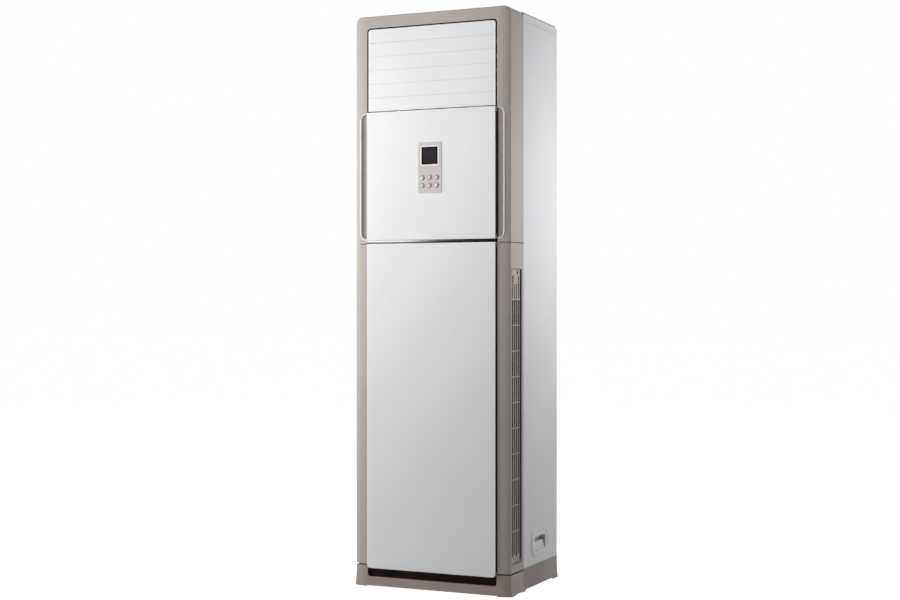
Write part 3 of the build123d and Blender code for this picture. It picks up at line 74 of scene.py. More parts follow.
def linear(code: str) -> Color:
    """Turns an sRGB hex colour into linear light.

    Args:
        code: a colour such as "#c6bfb8".

    Returns:
        Red, green, blue and an alpha of 1.
    """
    channels = [int(code[i : i + 2], 16) / 255 for i in (1, 3, 5)]
    red, green, blue = (c / 12.92 if c <= 0.04045 else ((c + 0.055) / 1.055) ** 2.4 for c in channels)
    return red, green, blue, 1.0


def add_node(
    tree: Tree,
    kind: str,
    settings: dict[str | int, Any] | None = None,
    links: dict[str | int, Socket] | None = None,
) -> bpy.types.ShaderNode:
    """Adds one shader node with its settings and links.

    Args:
        tree: the node tree that it joins.
        kind: the node's type, without its "ShaderNode" prefix.
        settings: values of the node's own properties and of its input sockets.
        links: the output socket that feeds each named or numbered input socket.

    Returns:
        The new node.
    """
    node = tree.nodes.new("ShaderNode" + kind)
    for key, value in (settings or {}).items():
        if isinstance(key, str) and hasattr(node, key):
            setattr(node, key, value)
        else:
            node.inputs[key].default_value = value
    for key, source in (links or {}).items():
        tree.links.new(source, node.inputs[key])
    return node


class Grain(Enum):
    """Patterns that a surface can carry, each a texture node."""

    NOISE = "TexNoise"
    CELLS = "TexVoronoi"


@dataclass(frozen=True)
class Finish:
    """A surface finish: one real material and how its surface was made.

    Every finish has a fine grain that bumps it, and a broad cloud that shifts its colour and
    roughness a little, as mouldings, paint and sheet metal all have.
    """

    title: str
    color: str
    roughness: float
    metallic: float = 0.0
    ior: float = 1.5
    coat: float = 0.0
    coat_roughness: float = 0.08
    grain: Grain = Grain.NOISE
    grain_mm: float = 2.0  # from one crest of the grain to the next
    grain_height_mm: float = 0.02
    cloud_mm: float = 160.0
    cloud_color: str = ""  # the finish's own colour where it is empty
    roughness_spread: float = 0.05
    specular: float = 0.5

    def material(self) -> bpy.types.Material:
        """Makes the finish's material on its first use.

        Returns:
            The material, the same one each time.
        """
        known = bpy.data.materials.get(self.title)
        if known:
            return known
        material = bpy.data.materials.new(self.title)
        material.use_nodes = True
        tree = material.node_tree
        tree.nodes.clear()
        shader = add_node(
            tree,
            "BsdfPrincipled",
            {
                "Base Color": linear(self.color),
                "Roughness": self.roughness,
                "Metallic": self.metallic,
                "IOR": self.ior,
                "Coat Weight": self.coat,
                "Coat Roughness": self.coat_roughness,
                "Specular IOR Level": self.specular,
            },
        )
        add_node(tree, "OutputMaterial", {}, {"Surface": shader.outputs["BSDF"]})
        self.dress(tree, shader, add_node(tree, "TexCoord").outputs["Object"])
        return material

    def dress(self, tree: Tree, shader: bpy.types.ShaderNode, place: Socket) -> None:
        """Adds the grain and the cloud.

        Args:
            tree: the material's node tree.
            shader: its principled shader.
            place: the socket of Object coordinates.
        """
        cloud = self.cloud(tree, place)
        rough = add_node(
            tree,
            "MapRange",
            {
                "To Min": max(self.roughness - self.roughness_spread, LEAST_ROUGHNESS),
                "To Max": self.roughness + self.roughness_spread,
            },
            {"Value": cloud},
        )
        tree.links.new(self.tint(tree, cloud, place), shader.inputs["Base Color"])
        tree.links.new(rough.outputs["Result"], shader.inputs["Roughness"])
        tree.links.new(self.bump(tree, self.texture(tree, place)), shader.inputs["Normal"])

    def cloud(self, tree: Tree, place: Socket) -> Socket:
        """Makes a broad soft pattern.

        Args:
            tree: the material's node tree.
            place: the socket of Object coordinates.

        Returns:
            The pattern's value, from 0 to 1.
        """
        noise = add_node(
            tree, "TexNoise", {"Scale": 1 / (self.cloud_mm * MM), "Detail": 3.0}, {"Vector": place}
        )
        stretched = add_node(
            tree, "MapRange", {"From Min": NOISE_LOW, "From Max": NOISE_HIGH}, {"Value": noise.outputs["Fac"]}
        )
        return stretched.outputs["Result"]

    def tint(self, tree: Tree, share: Socket, place: Socket) -> Socket:
        """Makes the colour, which drifts towards the cloud's colour.

        Args:
            tree: the material's node tree.
            share: how far it has drifted, from 0 to 1.
            place: the socket of Object coordinates.

        Returns:
            The colour at each place.
        """
        colors = {FIRST: linear(self.color), SECOND: linear(self.cloud_color or self.color)}
        return add_node(tree, "Mix", {"data_type": "RGBA", **colors}, {SHARE: share}).outputs[MIXED]

    def texture(self, tree: Tree, place: Socket) -> Socket:
        """The fine grain's height, from 0 to 1."""
        node = add_node(tree, self.grain.value, {"Scale": 1 / (self.grain_mm * MM)}, {"Vector": place})
        return node.outputs["Fac" if self.grain is Grain.NOISE else "Distance"]

    def bump(self, tree: Tree, height: Socket) -> Socket:
        """The normal that a height from 0 to 1 gives."""
        rise = {"Strength": 1.0, "Distance": self.grain_height_mm * MM}
        return add_node(tree, "Bump", rise, {"Height": height}).outputs["Normal"]


@dataclass(frozen=True)
class MetallicPaint(Finish):
    """Paint with metal flakes: each flake is a little lighter or darker than its neighbour."""

    flake_mm: float = 0.9
    flake_color: str = "#ffffff"
    flake_share: float = 0.06

    def tint(self, tree: Tree, share: Socket, place: Socket) -> Socket:
        """Makes the drifting colour with flakes scattered in it.

        Args:
            tree: the material's node tree.
            share: how far the colour has drifted, from 0 to 1.
            place: the socket of Object coordinates.

        Returns:
            The colour at each place.
        """
        base = Finish.tint(self, tree, share, place)
        cells = add_node(tree, "TexVoronoi", {"Scale": 1 / (self.flake_mm * MM)}, {"Vector": place})
        value = add_node(tree, "SeparateColor", {}, {"Color": cells.outputs["Color"]}).outputs["Red"]
        amount = add_node(tree, "Math", {"operation": "MULTIPLY", 1: self.flake_share}, {0: value})
        flakes = {"data_type": "RGBA", SECOND: linear(self.flake_color)}
        return add_node(tree, "Mix", flakes, {SHARE: amount.outputs[0], FIRST: base}).outputs[MIXED]


@dataclass(frozen=True)
class ZincSheet(Finish):
    """Hot-dip galvanised sheet: crystals of zinc a centimetre wide, each with its own sheen."""

    spangle_mm: float = 9.0

    def cloud(self, tree: Tree, place: Socket) -> Socket:
        """The spangle: one value for each crystal."""
        cells = add_node(tree, "TexVoronoi", {"Scale": 1 / (self.spangle_mm * MM)}, {"Vector": place})
        return add_node(tree, "SeparateColor", {}, {"Color": cells.outputs["Color"]}).outputs["Red"]


@dataclass(frozen=True)
class BorderedGlass(Finish):
    """Smoked acrylic with a black border printed behind its edge."""

    low: tuple[float, float] = (0.0, 0.0)  # X and Z of the pane's lowest corner
    high: tuple[float, float] = (0.0, 0.0)
    border_mm: float = 5.0
    border_color: str = "#030203"

    def tint(self, tree: Tree, share: Socket, place: Socket) -> Socket:
        """Makes the display's colour inside the border, and the border's outside it.

        Args:
            tree: the material's node tree.
            share: how far the display's colour has drifted, from 0 to 1.
            place: the socket of Object coordinates.

        Returns:
            The colour at each place.
        """
        base = Finish.tint(self, tree, share, place)
        parts = add_node(tree, "SeparateXYZ", {}, {"Vector": place})
        beyond = []
        for axis, low, high in zip("XZ", self.low, self.high):
            middle = {"operation": "SUBTRACT", 1: (low + high) / 2}
            offset = add_node(tree, "Math", middle, {0: parts.outputs[axis]})
            size = add_node(tree, "Math", {"operation": "ABSOLUTE"}, {0: offset.outputs[0]})
            edge = {"operation": "SUBTRACT", 1: (high - low) / 2 - self.border_mm * MM}
            beyond.append(add_node(tree, "Math", edge, {0: size.outputs[0]}).outputs[0])
        furthest = add_node(tree, "Math", {"operation": "MAXIMUM"}, {0: beyond[0], 1: beyond[1]})
        outside = add_node(tree, "Math", {"operation": "GREATER_THAN", 1: 0.0}, {0: furthest.outputs[0]})
        border = {"data_type": "RGBA", SECOND: linear(self.border_color)}
        return add_node(tree, "Mix", border, {SHARE: outside.outputs[0], FIRST: base}).outputs[MIXED]


@dataclass(frozen=True)
class ShadeFadeFilm(Finish):
    """Film whose colour fades along X: a painted shade, light at one end and dark at the other."""

    start: float = 0.0
    end: float = 1.0
    stops: tuple[tuple[float, str], ...] = ((0.0, "#ffffff"), (1.0, "#000000"))  # shares of the way

    def tint(self, tree: Tree, share: Socket, place: Socket) -> Socket:
        """Makes the colour that the painted shade has reached at each place.

        Args:
            tree: the material's node tree.
            share: the cloud's value, which is not used.
            place: the socket of Object coordinates.

        Returns:
            The colour at each place.
        """
        across = add_node(tree, "SeparateXYZ", {}, {"Vector": place}).outputs["X"]
        way = add_node(tree, "MapRange", {"From Min": self.start, "From Max": self.end}, {"Value": across})
        fade = add_node(tree, "ValToRGB", {}, {"Fac": way.outputs["Result"]})
        marks = fade.color_ramp.elements
        for mark, (where, color) in zip(marks, (self.stops[0], self.stops[-1])):
            mark.position = where
            mark.color = linear(color)
        for where, color in self.stops[1:-1]:
            marks.new(where).color = linear(color)
        return fade.outputs["Color"]


@dataclass(frozen=True)
class DomedAbs(Finish):
    """A polished round key, whose surface rises from its rim to its middle."""

    middle: tuple[float, float] = (0.0, 0.0)  # its X and Z
    radius: float = 8.0 * MM
    ripple: float = 0.003  # the moulding's unevenness, as a share of the rise

    def texture(self, tree: Tree, place: Socket) -> Socket:
        """Makes the dome's height, with a trace of unevenness.

        Args:
            tree: the material's node tree.
            place: the socket of Object coordinates.

        Returns:
            The height, which is 1 in the middle and 0 at the rim.
        """
        noise = Finish.texture(self, tree, place)
        scale = 1 / self.radius
        across, up = self.middle
        centred = {"Location": (-across * scale, 0.0, -up * scale), "Scale": (scale, 0.0, scale)}
        local = add_node(tree, "Mapping", centred, {"Vector": place}).outputs["Vector"]
        square = add_node(tree, "VectorMath", {"operation": "DOT_PRODUCT"}, {0: local, 1: local})
        dome = add_node(tree, "Math", {"operation": "SUBTRACT", 0: 1.0}, {1: square.outputs["Value"]})
        rippled = {"operation": "MULTIPLY_ADD", 1: self.ripple}
        return add_node(tree, "Math", rippled, {0: noise, 2: dome.outputs[0]}).outputs[0]


@dataclass(frozen=True)
class BrushedMetal(Finish):
    """Metal with fine lines along one axis, as turning, drawing or brushing leaves them."""

    along: tuple[float, float, float] = (1.0, 1.0, 0.04)  # the grain's scale along X, Y and Z

    def texture(self, tree: Tree, place: Socket) -> Socket:
        """Noise drawn out along the lines."""
        stretched = add_node(tree, "Mapping", {"Scale": self.along}, {"Vector": place})
        return Finish.texture(self, tree, stretched.outputs["Vector"])


# ---------------------------------------------------------------------------- finishes
# ABS sprayed with champagne metallic paint: a soft sheen, and flakes that only show close up.
CHAMPAGNE_PAINT = MetallicPaint(
    "champagne_metallic_paint_on_abs", "#b6ada7", 0.52, specular=0.25, grain_mm=1.5, grain_height_mm=0.006,
    cloud_color="#b1a8a2", roughness_spread=0.03,
)
# Spark-eroded ABS in the frame's colour, one shade down: a matt, slightly pebbled moulding.
TAUPE_ABS = Finish(
    "taupe_moulded_abs", "#a3948c", 0.48, grain_mm=1.4, grain_height_mm=0.03, cloud_color="#9c8d86",
)
# The rear half of the base is the same moulding, darker: a painted shade, like the shade of the recesses.
UMBER_ABS_PAINTED_SHADE = Finish(
    "umber_abs_painted_shade", "#85756e", 0.5, grain_mm=1.4, grain_height_mm=0.03, cloud_color="#7f6f69",
)
# The control plate: fine satin ABS, lighter than the frame, with a soft broad highlight.
SATIN_ABS = Finish(
    "satin_champagne_abs", "#cdc6c3", 0.34, coat=0.15, coat_roughness=0.2, grain_mm=1.2,
    grain_height_mm=0.008, cloud_mm=60.0, cloud_color="#c8c0bd",
)
# Small trim of bright satin ABS, nearly white. On the display bezel this is the trim's own colour; on the
# scoop beads, the latch rims and the grille hooks the white is a painted highlight, a thin light line.
PALE_TRIM_AND_PAINTED_HIGHLIGHT = Finish(
    "pale_abs_and_painted_highlight", "#f1eeec", 0.3, grain_mm=1.2, grain_height_mm=0.006, cloud_mm=30.0,
    cloud_color="#edeae8",
)
# Gloss ABS from a polished mould: a clear reflection with a faint waviness of the moulding.
GLOSS_WHITE_ABS = Finish(
    "gloss_white_abs", "#ececed", 0.16, coat=0.5, coat_roughness=0.04, grain_mm=38.0,
    grain_height_mm=0.03, cloud_mm=260.0, cloud_color="#e9e9eb", roughness_spread=0.02,
)
# Plain white ABS of inner mouldings: matt, with a fine spark-eroded grain.
MATT_WHITE_ABS = Finish(
    "matt_white_abs", "#dfdfdf", 0.42, grain_mm=1.4, grain_height_mm=0.02, cloud_color="#dadada",
)
# Powder coat on steel sheet: its orange peel is about 2 mm from crest to crest.
POWDER_COAT = Finish(
    "white_powder_coat_on_steel", "#e2e2e5", 0.42, grain_mm=2.2, grain_height_mm=0.018,
    cloud_mm=300.0, cloud_color="#dfdfe3", specular=0.35,
)
# The handles: ABS of the side panels' colour, from a satin mould.
SATIN_WHITE_ABS = Finish(
    "satin_white_abs", "#e0e0e3", 0.4, grain_mm=1.4, grain_height_mm=0.012, cloud_color="#dddde0",
)
# Bare galvanised sheet: grey, with crystals that turn light and dark as they face the light.
GALVANISED_SHEET = ZincSheet(
    "galvanised_steel_sheet", "#b4b8ba", 0.42, metallic=1.0, grain_mm=1.5, grain_height_mm=0.01,
    cloud_color="#9da2a5", roughness_spread=0.1,
)
# Dark ABS of moving inner mouldings: a fine matt grain that hides dust and scratches.
DARK_ABS = Finish(
    "dark_grey_moulded_abs", "#343436", 0.45, grain_mm=1.4, grain_height_mm=0.03, cloud_color="#2e2e30",
)
# Black closed-cell foam: cells a millimetre wide, and almost no gloss. Its black is a painted shade in the
# outlet's mouth, on its sill and in the latches' finger holes.
BLACK_FOAM_PAINTED_SHADE = Finish(
    "black_foam_painted_shade", "#161415", 0.85, grain=Grain.CELLS, grain_mm=1.1, grain_height_mm=0.25,
    cloud_color="#1d1a1b", specular=0.1,
)
# The filler between the two panels. Its print stands in for the light and shade of the photo's gap.
SHADE_FADE_STRIP = ShadeFadeFilm(
    "film_with_painted_shade_fade", "#ececed", 0.45, grain_mm=2.0, grain_height_mm=0.01, specular=0.2,
    start=-0.1, end=0.223,
    stops=(
        (0.0, "#f0f0f1"), (0.1, "#dadada"), (0.24, "#a9a7a7"), (0.38, "#676263"), (0.54, "#3e383a"),
        (0.78, "#150f11"), (1.0, "#070405"),
    ),
)
# The tapes in the frame's joints are the same foam in dark brown: a painted shade in the gaps beside the
# panels.
BROWN_FOAM_PAINTED_SHADE = Finish(
    "brown_foam_painted_shade", "#35282a", 0.85, grain=Grain.CELLS, grain_mm=1.1, grain_height_mm=0.2,
    cloud_color="#3b2d2e", specular=0.1,
)
# The strips behind the grilles are russet foam: a painted shade in the gap behind each grille, lighter than
# the black foam where the light reaches.
RUSSET_FOAM_PAINTED_SHADE = Finish(
    "russet_foam_painted_shade", "#5c4446", 0.85, grain=Grain.CELLS, grain_mm=1.1, grain_height_mm=0.2,
    cloud_color="#644a4b", specular=0.1,
)
# Felt glued into the toe recess: short brown fibres with almost no gloss. Its dark brown is a painted shade,
# the shade deep in the recess.
BROWN_FELT_PAINTED_SHADE = Finish(
    "brown_felt_painted_shade", "#4a3c38", 0.95, grain_mm=0.8, grain_height_mm=0.2, cloud_mm=60.0,
    cloud_color="#42342f", specular=0.05,
)
# Moulded rubber: near black, with a dull even sheen.
BLACK_RUBBER = Finish(
    "black_moulded_rubber", "#1b1b1c", 0.62, grain_mm=0.9, grain_height_mm=0.03, cloud_color="#232324",
)
# Solder mask over copper tracks: glossy green with raised lands 5 mm apart.
SOLDER_MASK = Finish(
    "green_solder_mask", "#1d5a33", 0.3, coat=0.4, grain=Grain.CELLS, grain_mm=5.0, grain_height_mm=0.08,
    cloud_mm=12.0, cloud_color="#2b7444",
)
# Aluminium strip with a pale blue coat that sheds water: rolled lines and a cool sheen.
FIN_STOCK = BrushedMetal(
    "coated_aluminium_fin_stock", "#c2ccd2", 0.34, metallic=1.0, grain_mm=1.5, grain_height_mm=0.01,
    cloud_color="#a9b8c2",
)
# Drawn copper tube: fine lines along it, and patches that have begun to brown.
DRAWN_COPPER = BrushedMetal(
    "drawn_copper_tube", "#c9805c", 0.28, metallic=1.0, grain_mm=1.0, grain_height_mm=0.01,
    cloud_mm=50.0, cloud_color="#a8623f", roughness_spread=0.1,
)
# Turned brass: bright, with a faint mark of the tool.
TURNED_BRASS = BrushedMetal(
    "turned_brass", "#cfae66", 0.25, metallic=1.0, along=(1.0, 1.0, 1.0), grain_mm=0.8,
    grain_height_mm=0.01, cloud_mm=30.0, cloud_color="#b8964f",
)
# Stoved enamel on the motor's shell: smooth black with a clear gloss.
BLACK_ENAMEL = Finish(
    "black_enamel_on_steel", "#19191b", 0.3, coat=0.3, grain_mm=2.5, grain_height_mm=0.02,
    cloud_color="#202022",
)
# Bright zinc on screws, catches and the shaft: silver with a trace of yellow.
ZINC_PLATE = BrushedMetal(
    "bright_zinc_plate", "#c7c8c9", 0.3, metallic=1.0, grain_mm=0.8, grain_height_mm=0.008,
    cloud_mm=20.0, cloud_color="#b3b2a8",
)
# Nylon net of the filters: brown thread with a dull sheen.
NYLON_NET = Finish(
    "nylon_net", "#453533", 0.5, grain_mm=0.8, grain_height_mm=0.03, cloud_color="#3e302f", specular=0.3,
)


# ---------------------------------------------------------------------------- mesh helpers
SMOOTH_BELOW = 35.0  # degrees between two faces, past which their edge is sharp
FACING = 0.5  # a normal's share along an axis, past which the face looks that way
TOUCHING = 1e-7  # places nearer to each other than this are the same
FRONT_FACING = Matrix.Rotation(math.radians(90), 4, "X")  # local +Y to up, local +Z to the front


class Rounding(Enum):
    """What a rounding works on."""

    CORNERS = "VERTICES"
    EDGES = "EDGES"


def side_facing(side: int) -> Matrix:
    """The turn that takes local +Y to up and local +Z out of one side of the cabinet."""
    return Matrix(((0, 0, side, 0), (side, 0, 0, 0), (0, 1, 0, 0), (0, 0, 0, 1)))


def finished(
    bm: Mesh,
    name: str,
    finish: Finish,
    body: str,
    replaces: Iterable[str] = (),
) -> bpy.types.Object:
    """Turns a bmesh into a dressed piece that rides on a body.

    Args:
        bm: the piece's mesh, in place; it is freed.
        name: the piece's name.
        finish: its finish.
        body: the body that it moves with.
        replaces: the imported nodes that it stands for.

    Returns:
        The new object.
    """
    bmesh.ops.recalc_face_normals(bm, faces=bm.faces[:])
    mesh = bpy.data.meshes.new(name)
    bm.to_mesh(mesh)
    bm.free()
    mesh.polygons.foreach_set("use_smooth", [True] * len(mesh.polygons))
    mesh.set_sharp_from_angle(angle=math.radians(SMOOTH_BELOW))
    mesh.materials.append(finish.material())
    piece = bpy.data.objects.new(name, mesh)
    bpy.context.scene.collection.objects.link(piece)
    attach(piece, body)
    nodes = list(replaces)
    if nodes:
        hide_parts(*nodes)
    log.info("%s: %d faces, %s", name, len(mesh.polygons), finish.title)
    return piece


def paint(finish: Finish, *nodes: str) -> None:
    """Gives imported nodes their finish.

    Args:
        finish: the finish that they share.
        nodes: their names.
    """
    for name in nodes:
        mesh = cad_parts[name].data
        mesh.materials.clear()
        mesh.materials.append(finish.material())
        log.info("%s: %s", name, finish.title)


def box_into(bm: Mesh, low: Iterable[float], high: Iterable[float]) -> list[bmesh.types.BMVert]:
    """Adds a block between two opposite corners.

    Args:
        bm: the mesh that it joins.
        low: its lowest corner.
        high: its highest corner.

    Returns:
        Its vertices.
    """
    lowest, highest = Vector(low), Vector(high)
    place = Matrix.Translation((lowest + highest) / 2) @ Matrix.Diagonal((*(highest - lowest), 1.0))
    return bmesh.ops.create_cube(bm, size=1.0, matrix=place)["verts"]


def rectangle_into(
    bm: Mesh, width: float, height: float, place: Matrix, columns: int = 1, rows: int = 1
) -> None:
    """Adds a flat rectangle, which lies in the XY plane of its place with its middle there.

    Args:
        bm: the mesh that it joins.
        width: its size along the place's X.
        height: its size along the place's Y.
        place: where its middle is, and how it is turned.
        columns: how many faces it has along X.
        rows: how many it has along Y.
    """
    size = Matrix.Diagonal((width / 2, height / 2, 1.0, 1.0))
    bmesh.ops.create_grid(bm, x_segments=columns, y_segments=rows, size=1.0, matrix=place @ size)


def round_off(bm: Mesh, geometry: Iterable[Any], what: Rounding, radius: float, steps: int) -> None:
    """Rounds corners or edges.

    Args:
        bm: the mesh that they belong to.
        geometry: the vertices or edges.
        what: which of the two they are.
        radius: the size of the rounding.
        steps: how many faces or edges go round it.
    """
    bmesh.ops.bevel(
        bm,
        geom=list(geometry),
        offset=radius,
        affect=what.value,
        segments=steps,
        profile=0.5,
        material=-1,
    )


def draw_out(bm: Mesh, edges: Iterable[bmesh.types.BMEdge], along: tuple[float, float, float]) -> None:
    """Draws edges out into a wall.

    Args:
        bm: the mesh that they belong to.
        edges: the edges.
        along: how far the wall goes.
    """
    made = bmesh.ops.extrude_edge_only(bm, edges=list(edges))["geom"]
    moved = [v for v in made if isinstance(v, bmesh.types.BMVert)]
    bmesh.ops.translate(bm, vec=along, verts=moved)


def rounded_plate(width: float, height: float, corner: float) -> Mesh:
    """Makes one flat face with round corners, in the XY plane.

    Args:
        width: its size along X.
        height: its size along Y.
        corner: radius of its corners.

    Returns:
        The face's mesh.
    """
    bm = bmesh.new()
    rectangle_into(bm, width, height, Matrix.Identity(4))
    round_off(bm, bm.verts[:], Rounding.CORNERS, corner, steps=6)
    return bm


def rounded_ring(
    width: float, height: float, corner: float, band: float, thick: float, edge: float
) -> Mesh:
    """Makes a flat ring around a rounded rectangle, in the XY plane, with its front at +Z.

    Args:
        width: outer width along X.
        height: outer height along Y.
        corner: outer corner radius.
        band: width of the ring.
        thick: its thickness, up from Z = 0.
        edge: rounding of its front edges.

    Returns:
        The ring's mesh.
    """
    bm = rounded_plate(width, height, corner)
    bmesh.ops.inset_region(
        bm, faces=bm.faces[:], thickness=band, use_boundary=True, use_even_offset=True
    )
    inner = max(bm.faces, key=lambda f: len(f.edges))
    bmesh.ops.delete(bm, geom=[inner], context="FACES")
    raised = bmesh.ops.extrude_face_region(bm, geom=bm.faces[:])["geom"]
    top = [v for v in raised if isinstance(v, bmesh.types.BMVert)]
    bmesh.ops.translate(bm, vec=(0, 0, thick), verts=top)
    bm.normal_update()
    front = [e for e in bm.edges if all(abs(v.co.z - thick) < TOUCHING for v in e.verts)]
    rims = [e for e in front if any(abs(f.normal.z) < FACING for f in e.link_faces)]
    round_off(bm, rims, Rounding.EDGES, edge, steps=2)
    return bm


def tray(width: float, height: float, corner: float, depth: float, thick: float) -> Mesh:
    """Makes an open tray that lines a pocket, with its floor in the XY plane and its mouth at +Z.

    Args:
        width: outer width along X.
        height: outer height along Y.
        corner: outer corner radius.
        depth: height of its wall.
        thick: thickness of its floor and its wall, inwards.

    Returns:
        The tray's mesh.
    """
    bm = rounded_plate(width, height, corner)
    draw_out(bm, bm.edges[:], (0, 0, depth))
    bmesh.ops.recalc_face_normals(bm, faces=bm.faces[:])
    floor = max(bm.faces, key=lambda f: len(f.edges))
    if floor.normal.z < 0:
        bmesh.ops.reverse_faces(bm, faces=bm.faces[:])
    bmesh.ops.solidify(bm, geom=bm.faces[:], thickness=-thick)
    return bm


def thicken_inwards(bm: Mesh, thick: float, middle: Vector) -> None:
    """Gives an open strip its thickness, on the side that faces a middle point.

    Args:
        bm: the strip's mesh.
        thick: the thickness.
        middle: a point that the strip goes round, seen along Y.
    """
    bmesh.ops.recalc_face_normals(bm, faces=bm.faces[:])
    face = max(bm.faces, key=lambda f: f.calc_area())
    away = face.calc_center_median() - middle
    away.y = 0.0
    if face.normal.dot(away) < 0:
        bmesh.ops.reverse_faces(bm, faces=bm.faces[:])
    bmesh.ops.solidify(bm, geom=bm.faces[:], thickness=thick)


# ---------------------------------------------------------------------------- sub-assemblies
@dataclass
class Base:
    """The two mouldings that the cabinet stands in, and the pan inside them."""

    recess_half: float = 224.0 * MM
    recess_bottom: float = 31.0 * MM
    recess_top: float = 65.0 * MM
    recess_depth: float = 18.0 * MM
    recess_corner: float = 9.0 * MM
    liner_front: float = 3.0 * MM  # behind the face of the stiles
    liner_thick: float = 0.4 * MM

    def build(self) -> None:
        """Dresses the base and lines its recess with dark felt, a painted shade."""
        paint(TAUPE_ABS, "base_plinth")
        # The rear half of the base is the same moulding in a darker colour: painted shade.
        paint(UMBER_ABS_PAINTED_SHADE, "base_skirt")
        paint(GALVANISED_SHEET, "base_pan")
        self.build_recess_shade_liner()

    def build_recess_shade_liner(self) -> None:
        """The dark felt on the back wall, the floor and the ends of the toe recess: a painted shade."""
        low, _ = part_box("upper_front_frame")
        front = low.y + self.liner_front
        back = low.y + self.recess_depth
        middle = Vector((0, back, (self.recess_bottom + self.recess_top) / 2))
        bm = bmesh.new()
        rectangle_into(
            bm,
            2 * self.recess_half,
            self.recess_top - self.recess_bottom,
            Matrix.Translation(middle) @ FRONT_FACING,
        )
        corners = [v for v in bm.verts if v.co.z < self.recess_top - self.recess_corner]
        round_off(bm, corners, Rounding.CORNERS, self.recess_corner, steps=5)
        rim = [e for e in bm.edges if any(v.co.z < self.recess_top - MM for v in e.verts)]
        draw_out(bm, rim, (0, front - back, 0))
        bmesh.ops.recalc_face_normals(bm, faces=bm.faces[:])
        wall = max(bm.faces, key=lambda f: f.calc_area())
        if wall.normal.y > 0:
            bmesh.ops.reverse_faces(bm, faces=bm.faces[:])
        bmesh.ops.solidify(bm, geom=bm.faces[:], thickness=-self.liner_thick)
        finished(bm, "recess_shade_liner", BROWN_FELT_PAINTED_SHADE, "cabinet")


@dataclass
class FrontFrames:
    """The painted frames around the panels, and the top cover of the same colour."""

    scoop_x: float = 222.75 * MM  # middle of each finger scoop's outline
    scoop_bottom: float = 1109.0 * MM
    scoop_top: float = 1513.0 * MM
    scoop_width: float = 52.5 * MM
    scoop_corner: float = 20.0 * MM
    bead_spread: float = 2.0 * MM  # outside the scoop's outline
    bead_band: float = 3.6 * MM
    bead_back: float = 2.6 * MM  # behind the face of the stiles
    bead_thick: float = 3.0 * MM
    bead_edge: float = 0.5 * MM
    well_half: float = 226.5 * MM  # the beads end here, at the well of the panels

    def build(self) -> None:
        """Paints the frames and edges their scoops with a pale bead, a painted highlight."""
        paint(CHAMPAGNE_PAINT, "upper_front_frame", "lower_front_frame", "top_cover")
        self.build_scoop_highlight_beads()

    def build_scoop_highlight_beads(self) -> None:
        """The thin pale bead around each finger scoop, from the panel's well round to the well again: a
        painted highlight along the scoop's rim.
        """
        low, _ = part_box("upper_front_frame")
        height = self.scoop_top - self.scoop_bottom
        for name, side in SIDES:
            bm = rounded_ring(
                self.scoop_width + 2 * self.bead_spread,
                height + 2 * self.bead_spread,
                self.scoop_corner + self.bead_spread,
                self.bead_band,
                self.bead_thick,
                self.bead_edge,
            )
            middle = Vector((self.scoop_x * side, low.y + self.bead_back, self.scoop_bottom + height / 2))
            bmesh.ops.transform(bm, matrix=Matrix.Translation(middle) @ FRONT_FACING, verts=bm.verts[:])
            bmesh.ops.bisect_plane(
                bm,
                geom=bm.verts[:] + bm.edges[:] + bm.faces[:],
                plane_co=(self.well_half * side, 0, 0),
                plane_no=(side, 0, 0),
                clear_inner=True,
            )
            open_ends = [e for e in bm.edges if len(e.link_faces) == 1]
            bmesh.ops.holes_fill(bm, edges=open_ends)
            finished(bm, f"{name}_scoop_highlight_bead", PALE_TRIM_AND_PAINTED_HIGHLIGHT, "cabinet")


@dataclass
class FrontPanels:
    """The two glossy panels, the catches of the lower one and the strip between them."""

    panel_half: float = 223.5 * MM
    tape_thick: float = 0.5 * MM
    tape_front: float = 2.5 * MM  # behind the faces of the panels
    tape_back: float = 11.0 * MM
    tape_margin: float = 16.0 * MM  # from the ends of a flank
    well_depth: float = 14.0 * MM  # behind the face of the stiles
    strip_half: float = 223.0 * MM
    strip_depth: float = 2.5 * MM  # behind the faces of the panels
    strip_gap: float = 0.6 * MM
    strip_lift: float = 4.4 * MM  # its front edge stands higher, clear of the lower panel's swing

    def build(self) -> None:
        """Dresses the panels and adds the dark foam around them, which paints shade in the gaps."""
        paint(GLOSS_WHITE_ABS, "middle_panel", "lower_panel")
        paint(ZINC_PLATE, "panel_catches")
        self.build_edge_shade_tapes()
        self.build_gap_strip()

    def build_edge_shade_tapes(self) -> None:
        """A thin dark foam tape down both flanks of each panel: painted shade in the gaps beside the panels.
        """
        for node, body in (("middle_panel", "cabinet"), ("lower_panel", "lower_panel")):
            low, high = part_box(node)
            bm = bmesh.new()
            for _, side in SIDES:
                flank = self.panel_half * side
                near, far = sorted((flank, flank + side * self.tape_thick))
                box_into(
                    bm,
                    (near, low.y + self.tape_front, low.z + self.tape_margin),
                    (far, low.y + self.tape_back, high.z - self.tape_margin),
                )
            finished(bm, f"{node}_edge_shade_tapes", BROWN_FOAM_PAINTED_SHADE, body)

    def build_gap_strip(self) -> None:
        """The filler strip in the gap between the two panels, coloured with a painted shade: white at the
        left, black at the right.
        """
        frame_low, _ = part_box("upper_front_frame")
        _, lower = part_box("lower_panel")
        upper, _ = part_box("middle_panel")
        front = upper.y + self.strip_depth
        bm = bmesh.new()
        corners = box_into(
            bm,
            (-self.strip_half, front, lower.z + self.strip_gap),
            (self.strip_half, frame_low.y + self.well_depth, upper.z - self.strip_gap),
        )
        middle = (lower.z + upper.z) / 2
        raised = [v for v in corners if v.co.y < front + MM and v.co.z < middle]
        bmesh.ops.translate(bm, vec=(0, 0, self.strip_lift), verts=raised)
        finished(bm, "panel_gap_strip", SHADE_FADE_STRIP, "cabinet")


